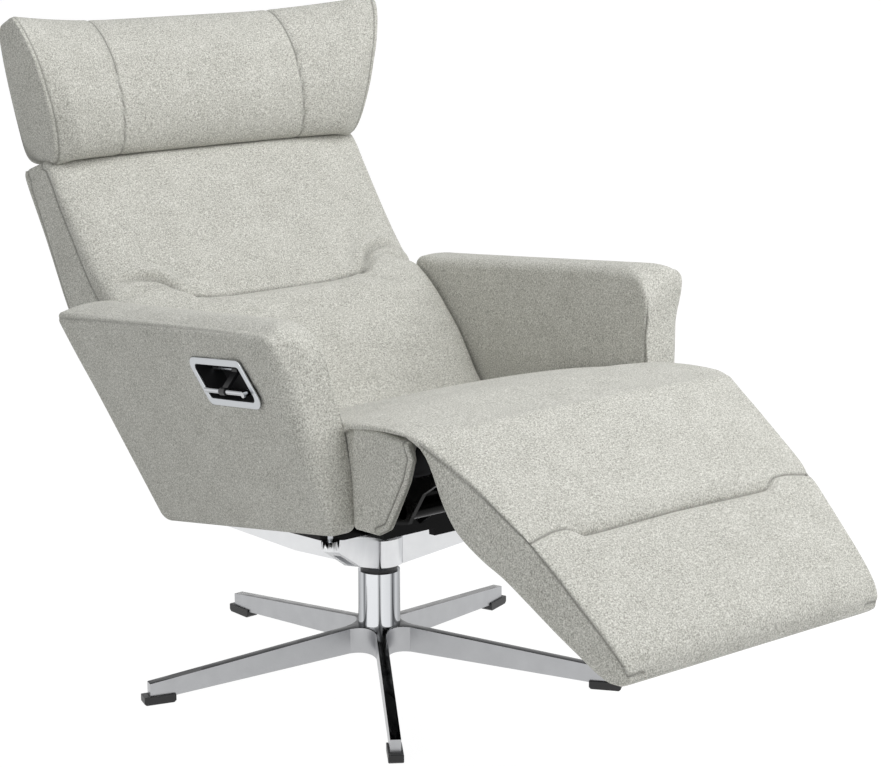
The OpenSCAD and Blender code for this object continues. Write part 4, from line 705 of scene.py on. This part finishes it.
cover = closed_skin("seat_and_footrest_cover", cover_rings(), cover_cloth)
place, _ = points_of(cover)
u, n = foot_local(place[:, 1], place[:, 2])
x = np.abs(place[:, 0])
pinch_u = through(x, [[0, 179], [125, 181], [148, 180.5], [156, 177], [163, 172], [172, 169.5],
                      [185, 169], [203, 171.5], [226, 175.5], [260, 178]])
side_n = through(u, [row[2:4] for row in foot_rows[:-1]])
pinch = np.where((n > side_n - 2) & (x < 240), np.abs(u - pinch_u), 999)
held = 0.3 + 0.7 * smooth((172 - x) / 24)
depth = 10 * held * np.exp(-np.abs(pinch / np.where(u < pinch_u, 12, 8)) ** 1.35)
# The pinch seam and the side seam get painted shade along their lines.
fine_depth, painted_shade = stitch(pinch, 1.8, 2.4)
edge = np.where((u > -5) & (x > 180), np.abs(n - side_n + 1), 99)
edge_depth, edge_painted_shade = stitch(edge, 1.4, 3.5)
sew(cover, depth + fine_depth + edge_depth, painted_shade + edge_painted_shade)
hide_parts("seat_cushion", "footrest_cushion")
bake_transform(cover)

# Seat lining
# Under the cover the foam is wrapped in a black spun lining, which lies on the webbing and rolls
# over the knee tube at the front.

seat_base_rows = [
    # top y, z; side y, z; underside y, z; half width
    [48, 338, 46, 334, 36, 322, 230], [40, 344, 40, 336, 34, 319, 238],
    [0, 344, 0, 336, 0, 325.5, 242],
    [-80, 372, -80, 364, -80, 340, 242], [-160, 394, -160, 384, -160, 353.5, 242],
    [-225, 408, -225, 398, -225, 364.5, 242], [-244, 412, -244, 402, -244, 368, 240],
    [-256, 418, -256, 406, -256, 370, 212.5], [-300, 442, -300, 428, -300, 377.5, 212.5],
    [-345, 450, -345, 436, -345, 388, 212.5], [-381, 452, -383, 447, -388, 437, 212.5],
    [-404, 452, -402, 446, -394, 436.5, 212.5], [-421, 444, -417, 440, -404, 433, 212.5],
    [-431.5, 430, -427, 427, -412, 423, 212], [-435, 420, -431, 419, -416, 417, 211.5],
    [-434, 411.5, -430, 412, -418, 412.5, 211]]


def lining_rings():
    """Rings along the lining, nearly square in section."""
    rows = np.array(seat_base_rows, float)
    run = run_of(rows)
    fine = np.unique(np.concatenate([np.arange(0, run[-1], 6.0), run]))[:, None]
    ty, tz, sy, sz, uy, uz, half = columns_at(fine, run, rows)
    a = 2 * np.pi * (np.arange(360) + 0.5) / 360
    above = np.sin(a) > 0
    x = half * power(np.cos(a), 0.12)
    crown = np.abs(np.sin(a)) ** 0.16
    y, z = from_side(sy, ty, uy, above, crown), from_side(sz, tz, uz, above, crown)
    return even_rings(np.stack(np.broadcast_arrays(x, y, z), axis=2), 120)


seat_lining = closed_skin("seat_lining", lining_rings(), lining)
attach(seat_lining, "seat")
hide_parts("seat_cushion")

# Cheeks
# A padded panel in the cover cloth closes each side of the seat in front of the arm. Its front slants
# back towards the inside, and its front edge is piped.


def padded_panel(name, outline, inner, outer, edge_in, edge_out, crown, finish):
    """An upholstered panel between two faces. outline(share) gives the side view's points at a share
    of the thickness. Each edge is a quarter circle of its own radius at each point, and each face is
    closed by rows that shrink towards its middle, the outer one crowned towards it."""

    def turned_in(p, d):
        """The outline drawn in by a distance at each point."""
        along = np.roll(p, -1, axis=0) - np.roll(p, 1, axis=0)
        along /= np.linalg.norm(along, axis=1)[:, None]
        turn = np.sign(np.sum(p[:, 0] * np.roll(p[:, 1], -1) - p[:, 1] * np.roll(p[:, 0], -1)))
        return p + turn * np.column_stack([-along[:, 1], along[:, 0]]) * d[:, None]

    def face_row(rim, shrink, face, lift):
        """A face's rim shrunk towards its middle, and lifted there."""
        p = rim.mean(axis=0) + (rim - rim.mean(axis=0)) * shrink
        return np.column_stack([face(p) + lift * (1 - shrink ** 2.5), p])

    low, high = outline(0), outline(1)
    r_in, r_out = edge_in(low), edge_out(high)
    near_rim = 1 - np.concatenate([np.arange(0, 0.11, 0.011), np.linspace(0.13, 0.97, 14)])
    low_rim, high_rim = turned_in(low, r_in), turned_in(high, r_out)
    rings = [face_row(low_rim, k, inner, 0) for k in near_rim[::-1]]
    for t in np.linspace(0, 0.5 * np.pi, 10)[1:]:
        p = turned_in(low, r_in * (1 - np.sin(t)))
        rings.append(np.column_stack([inner(p) + r_in * (1 - np.cos(t)), p]))
    start, stop = inner(low) + r_in, outer(high) - r_out
    for t in np.linspace(0, 1, 22)[1:-1]:
        p = outline(t)
        rings.append(np.column_stack([start + (stop - start) * t, p]))
    for t in np.linspace(0.5 * np.pi, 0, 10)[:-1]:
        p = turned_in(high, r_out * (1 - np.sin(t)))
        rings.append(np.column_stack([outer(p) - r_out * (1 - np.cos(t)), p]))
    rings += [face_row(high_rim, k, outer, crown) for k in near_rim]
    return closed_skin(name, np.array(rings), finish)


def rounded_outline(corners, radii, count=400):
    """A closed outline round the corners with each corner on its own radius, as a dense list."""
    p = np.array(corners, float)
    before, after = np.roll(p, 1, axis=0) - p, np.roll(p, -1, axis=0) - p
    before /= np.linalg.norm(before, axis=1)[:, None]
    after /= np.linalg.norm(after, axis=1)[:, None]
    half = 0.5 * np.arccos(np.clip((before * after).sum(axis=1), -1, 1))
    r = np.array(radii, float)
    middle = (before + after) / np.linalg.norm(before + after, axis=1)[:, None]
    centre = p + middle * (r / np.sin(half))[:, None]
    start = p + before * (r / np.tan(half))[:, None]
    end = p + after * (r / np.tan(half))[:, None]
    a0 = np.arctan2(*(start - centre).T[::-1])
    a1 = np.arctan2(*(end - centre).T[::-1])
    turn = (a1 - a0 + 3 * np.pi) % (2 * np.pi) - np.pi
    t = np.linspace(0, 1, 24)
    angle = a0[:, None] + turn[:, None] * t
    arcs = centre[:, None] + r[:, None, None] * np.stack([np.cos(angle), np.sin(angle)], axis=2)
    dense = arcs.reshape(1, -1, 2)
    dense = np.concatenate([dense, np.zeros(dense.shape[:2] + (1,))], axis=2)
    return even_rings(dense, count)[0, :, :2]


cheek_rear_y, cheek_l, cheek_low_z, cheek_h = -251, 149, 320, 132
cheek_shares = np.array([
    # share of the length, share of the height, how much less of the length on the inner face
    [0, 0.93, 0], [0, 0.33, 0], [0.12, 0.03, 0], [0.24, 0, 0], [0.56, 0.02, 0.2],
    [0.71, 0.11, 0.26], [0.8, 0.29, 0.3], [0.955, 0.61, 0.32], [1.015, 0.83, 0.3],
    [0.955, 0.97, 0.25], [0.54, 1.0, 0]])
cheek_radii = cheek_h * np.array([0.05, 0.1, 0.1, 0.1, 0.1, 0.08, 0.2, 0.2, 0.06, 0.05, 0.2])


def cheek_outline(t):
    """The cheek's side view at a share t of its thickness. Its front runs back towards the inside."""
    along = cheek_shares[:, 0] - cheek_shares[:, 2] * (1 - t)
    corners = np.column_stack([cheek_rear_y - cheek_l * along,
                               cheek_low_z + cheek_h * cheek_shares[:, 1]])
    return rounded_outline(corners, cheek_radii, 300)


for side, name in ((1, "left_cheek"), (-1, "right_cheek")):
    cheek = padded_panel(
        name + "_cover", cheek_outline, lambda p: 214.5 + 0 * p[:, 0],
        lambda p: 248.2 + 9 * smooth((-p[:, 0] - 275) / 16), lambda p: 4 + 0 * p[:, 0],
        lambda p: 5 + 0 * p[:, 0], 2.0, cover_cloth)
    place, _ = points_of(cheek)
    # The front seam runs down the outer edge, with a fine raised welt before it
    gap, _ = to_line(place[:, 1], place[:, 2], [
        (-388, 447), (-397, 430), (-388, 401), (-364, 358), (-352, 338), (-334, 329)])
    on_edge = smooth((place[:, 0] - 246) / 5)
    welt = bell(gap - 1.5, 1.4) * on_edge
    line = bell(gap - 4.5, 1.3) * on_edge
    if side < 0:
        place[:, 0] *= -1
        put_points(cheek, place)
        cheek.data.flip_normals()
    # The seam line also gets painted shade.
    sew(cheek, 1.2 * line - 0.9 * welt, 0.8 * line)
    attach(cheek, "seat")
    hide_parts(name)

# Arms
# Each arm is a slab of moulded foam over a plywood core, leaning outwards and wider at the rear. The
# cover is sewn along the outer face under the top and down the front of the inner face.

arm_low_z, arm_rise, arm_lean = 252, 308, 72
arm_front_y, arm_l = -285, 539


def arm_up(p):
    """How far up the arm a point of its side view lies, as a share."""
    return (p[:, 1] - arm_low_z) / arm_rise


def arm_inner(p):
    """The inner face's distance from the chair's middle: nearly upright low down, and leaning out
    above half height as a power of the height over it."""
    t = arm_up(p)
    return 248 + 3 * smooth(t / 0.7) + 18 * np.maximum(0, (t - 0.5) / 0.5) ** 1.6


def arm_outer(p):
    """The outer face's distance: a flat face, which leans out upwards and opens to the rear."""
    return 271 + arm_lean * arm_up(p) + 17 * (p[:, 0] - arm_front_y) / arm_l


def arm_outline(t):
    """The arm's side view at a share t of its thickness: its top is crowned towards the inner side,
    and its front top corner is large inside and small outside."""
    lift = 12 * (1 - (1.4 * (t - 0.3)) ** 2)
    front = 55 + (19 - 55) * smooth(1.2 * t - 0.1)
    corners = [[257, 512 + 0.6 * lift], [103, 244], [arm_front_y, 314], [-236, 560 + lift]]
    return rounded_outline(corners, [13, 18, 16, front], 600)


def arm_front(p):
    """1 at the arm's front edge and 0 behind it."""
    edge_y = arm_front_y + 49 * np.clip((p[:, 1] - 314) / 246, 0, 1)
    return 1 - smooth((p[:, 0] - edge_y) / 40)


def at_rear(p):
    """1 over the arm's body and half at its rear edge."""
    return 1 - 0.5 * smooth((p[:, 0] - 190) / 50)


def arm_edge_in(p):
    """The radius of the inner face's edge: rounder at the top, and sharp up the front."""
    body = at_rear(p) * (8 + 6 * smooth((p[:, 1] - 440) / 60))
    return body - 9 * arm_front(p) * smooth((p[:, 1] - 300) / 60)


def arm_edge_out(p):
    """The radius of the outer face's edge: rounder at the top, and most up the front."""
    low = smooth((p[:, 1] - 330) / 120) * (1 - smooth((p[:, 1] - 490) / 50))
    return at_rear(p) * (9 + 3 * smooth((p[:, 1] - 440) / 60)) + 14 * arm_front(p) * low


# The handle's recess in the sitter's right arm is cut in a frame of its own, with X to the front, Y
# up the face and Z out.
handle_at = np.array([-131.0, 484.0])
face_lean = np.arctan(arm_lean / arm_rise)
handle_turn = np.radians(7.7)
handle_out = 2.2  # how far the handle's frame lies out of the arm's uncrowned face


def on_handle(points):
    """Points of the handle's own frame, in millimetres, in the chair's frame."""
    c, s = np.cos(handle_turn), np.sin(handle_turn)
    a, b = c * points[:, 0] - s * points[:, 1], s * points[:, 0] + c * points[:, 1]
    h = points[:, 2]
    n, k = np.sin(face_lean), np.cos(face_lean)
    outer = arm_outer(handle_at[None])[0]
    return np.column_stack([-outer - handle_out - n * b - k * h,
                            handle_at[0] - a, handle_at[1] + k * b - n * h])


def slanted(l, h, r):
    """The handle's slanted outline with rounded corners."""
    k = 0.47 * h / 2
    corners = [[l / 2 - k, h / 2], [-l / 2 - k, h / 2], [k - l / 2, -h / 2], [l / 2 + k, -h / 2]]
    return rounded_outline(corners, [r] * 4, 96)


def prism(name, outline, low, high):
    """A closed block of the handle's outline between two depths of its frame."""
    rings = [on_handle(np.column_stack([outline, np.full(len(outline), d)])) for d in (low, high)]
    return closed_skin(name, np.array(rings), lining)


def carve(piece, tool):
    """Cuts the tool's shape out of the piece, and removes the tool."""
    cut = piece.modifiers.new("cut", "BOOLEAN")
    cut.operation, cut.object, cut.solver = "DIFFERENCE", tool, "EXACT"
    view = bpy.context.evaluated_depsgraph_get()
    mesh = bpy.data.meshes.new_from_object(piece.evaluated_get(view))
    piece.modifiers.clear()
    piece.data = mesh
    bpy.data.objects.remove(tool)


for side, name in ((1, "left_arm"), (-1, "right_arm")):
    arm = padded_panel(name + "_cover", arm_outline, arm_inner, arm_outer, arm_edge_in,
                       arm_edge_out, 2.5, cover_cloth)
    place, _ = points_of(arm)
    # The outer seam follows the top edge and fades out before the front. The inner one runs up the
    # inner face behind the front edge, and turns back at the top corner.
    inside, outside = arm_inner(place[:, 1:]), arm_outer(place[:, 1:])
    depth_of = (place[:, 0] - inside) / (outside - inside)
    top_gap, along = to_line(place[:, 1], place[:, 2], [
        (250, 504), (119, 520), (-36, 538), (-120, 547), (-205, 554)])
    top_line = bell(top_gap, 1.5) * smooth((depth_of - 0.75) / 0.15) * smooth((1 - along) / 0.25)
    front_gap, _ = to_line(place[:, 1], place[:, 2], [
        (-276, 325), (-256, 430), (-249, 480), (-247, 515), (-244, 535), (-231, 556),
        (-220, 568)])
    front_line = bell(front_gap, 1.5) * smooth((0.06 - depth_of) / 0.03)
    if side < 0:
        place[:, 0] *= -1
        put_points(arm, place)
        arm.data.flip_normals()
    # Both seam lines also get painted shade.
    sew(arm, 1.2 * top_line + 1.8 * front_line, 0.42 * top_line + 0.8 * front_line)
    if side < 0:
        carve(arm, prism("cup_room", slanted(110, 50, 8), -33, 30))
        carve(arm, prism("bezel_seat", slanted(122.6, 62.6, 11), -0.3, 30))
    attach(arm, "seat")
    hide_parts(name)

# Floor and light
# A pale studio floor under three soft boxes. The camera and mirroring surfaces see the floor nearly
# white and the room white, and the room lights the chair less than it shows.

floor_white, tree = new_finish("pale_studio_floor")
where = add_node(tree, "TexCoord").outputs["Object"]
tone = add_node(tree, "TexNoise", {"Vector": where, "Scale": 0.6})
tint = add_node(tree, "ValToRGB", {"Fac": tone.outputs["Fac"]})
tint.color_ramp.elements[0].color = linear("#F1F1F0")
tint.color_ramp.elements[1].color = linear("#F6F6F5")
lit = add_node(tree, "BsdfDiffuse", {"Color": tint.outputs["Color"]})
glow = add_node(tree, "Emission", {"Color": linear("#FFFFFF"), "Strength": 1.09})
seen = add_node(tree, "LightPath")
direct = add_node(tree, "Math", {0: seen.outputs["Is Camera Ray"], 1: seen.outputs["Is Glossy Ray"]},
                  operation="MAXIMUM")
share = add_node(tree, "Math", {0: direct.outputs["Value"], 1: 0.9}, operation="MULTIPLY")
both = add_node(tree, "MixShader", {0: share.outputs["Value"], 1: lit.outputs["BSDF"],
                                    2: glow.outputs["Emission"]})
add_node(tree, "OutputMaterial", {"Surface": both.outputs["Shader"]})
floor_mesh = bpy.data.meshes.new("studio_floor")
floor_mesh.from_pydata([(-40, -40, 0), (40, -40, 0), (40, 40, 0), (-40, 40, 0)], [], [(0, 1, 2, 3)])
floor_mesh.materials.append(floor_white)
studio_floor = bpy.data.objects.new("studio_floor", floor_mesh)
bpy.context.scene.collection.objects.link(studio_floor)

world = bpy.data.worlds.new("white_room")
bpy.context.scene.world = world
world.use_nodes = True
tree = world.node_tree
tree.nodes.clear()
seen = add_node(tree, "LightPath")
indirect = add_node(tree, "Math", {0: seen.outputs["Is Glossy Ray"],
                                   1: seen.outputs["Is Transmission Ray"]}, operation="MAXIMUM")
direct = add_node(tree, "Math", {0: seen.outputs["Is Camera Ray"], 1: indirect.outputs["Value"]},
                  operation="MAXIMUM")
white = add_node(tree, "Background", {"Color": linear("#FFFFFF"), "Strength": 1.0})
room = add_node(tree, "Background", {"Color": linear("#F4F6F8"), "Strength": 0.36})
both = add_node(tree, "MixShader", {0: direct.outputs["Value"], 1: room.outputs["Background"],
                                    2: white.outputs["Background"]})
add_node(tree, "OutputWorld", {"Surface": both.outputs["Shader"]})


def soft_box(name, place, aim, width, height, watts):
    """A rectangular studio light at a place, turned towards aim."""
    data = bpy.data.lights.new(name, "AREA")
    data.shape, data.size, data.size_y, data.energy = "RECTANGLE", width, height, watts
    box = bpy.data.objects.new(name, data)
    bpy.context.scene.collection.objects.link(box)
    box.location = place
    box.rotation_euler = (Vector(aim) - Vector(place)).to_track_quat("-Z", "Y").to_euler()


soft_box("top_box", (0.3, -1.3, 3.0), (0, -0.1, 0.4), 2.2, 1.8, 56)
soft_box("left_box", (-3.2, -0.6, 1.6), (0, 0, 0.4), 1.6, 1.8, 15)
soft_box("right_box", (2.3, -2.6, 2.2), (0, -0.6, 0.4), 1.4, 1.6, 42)

scene = bpy.context.scene
scene.view_settings.view_transform = "Standard"
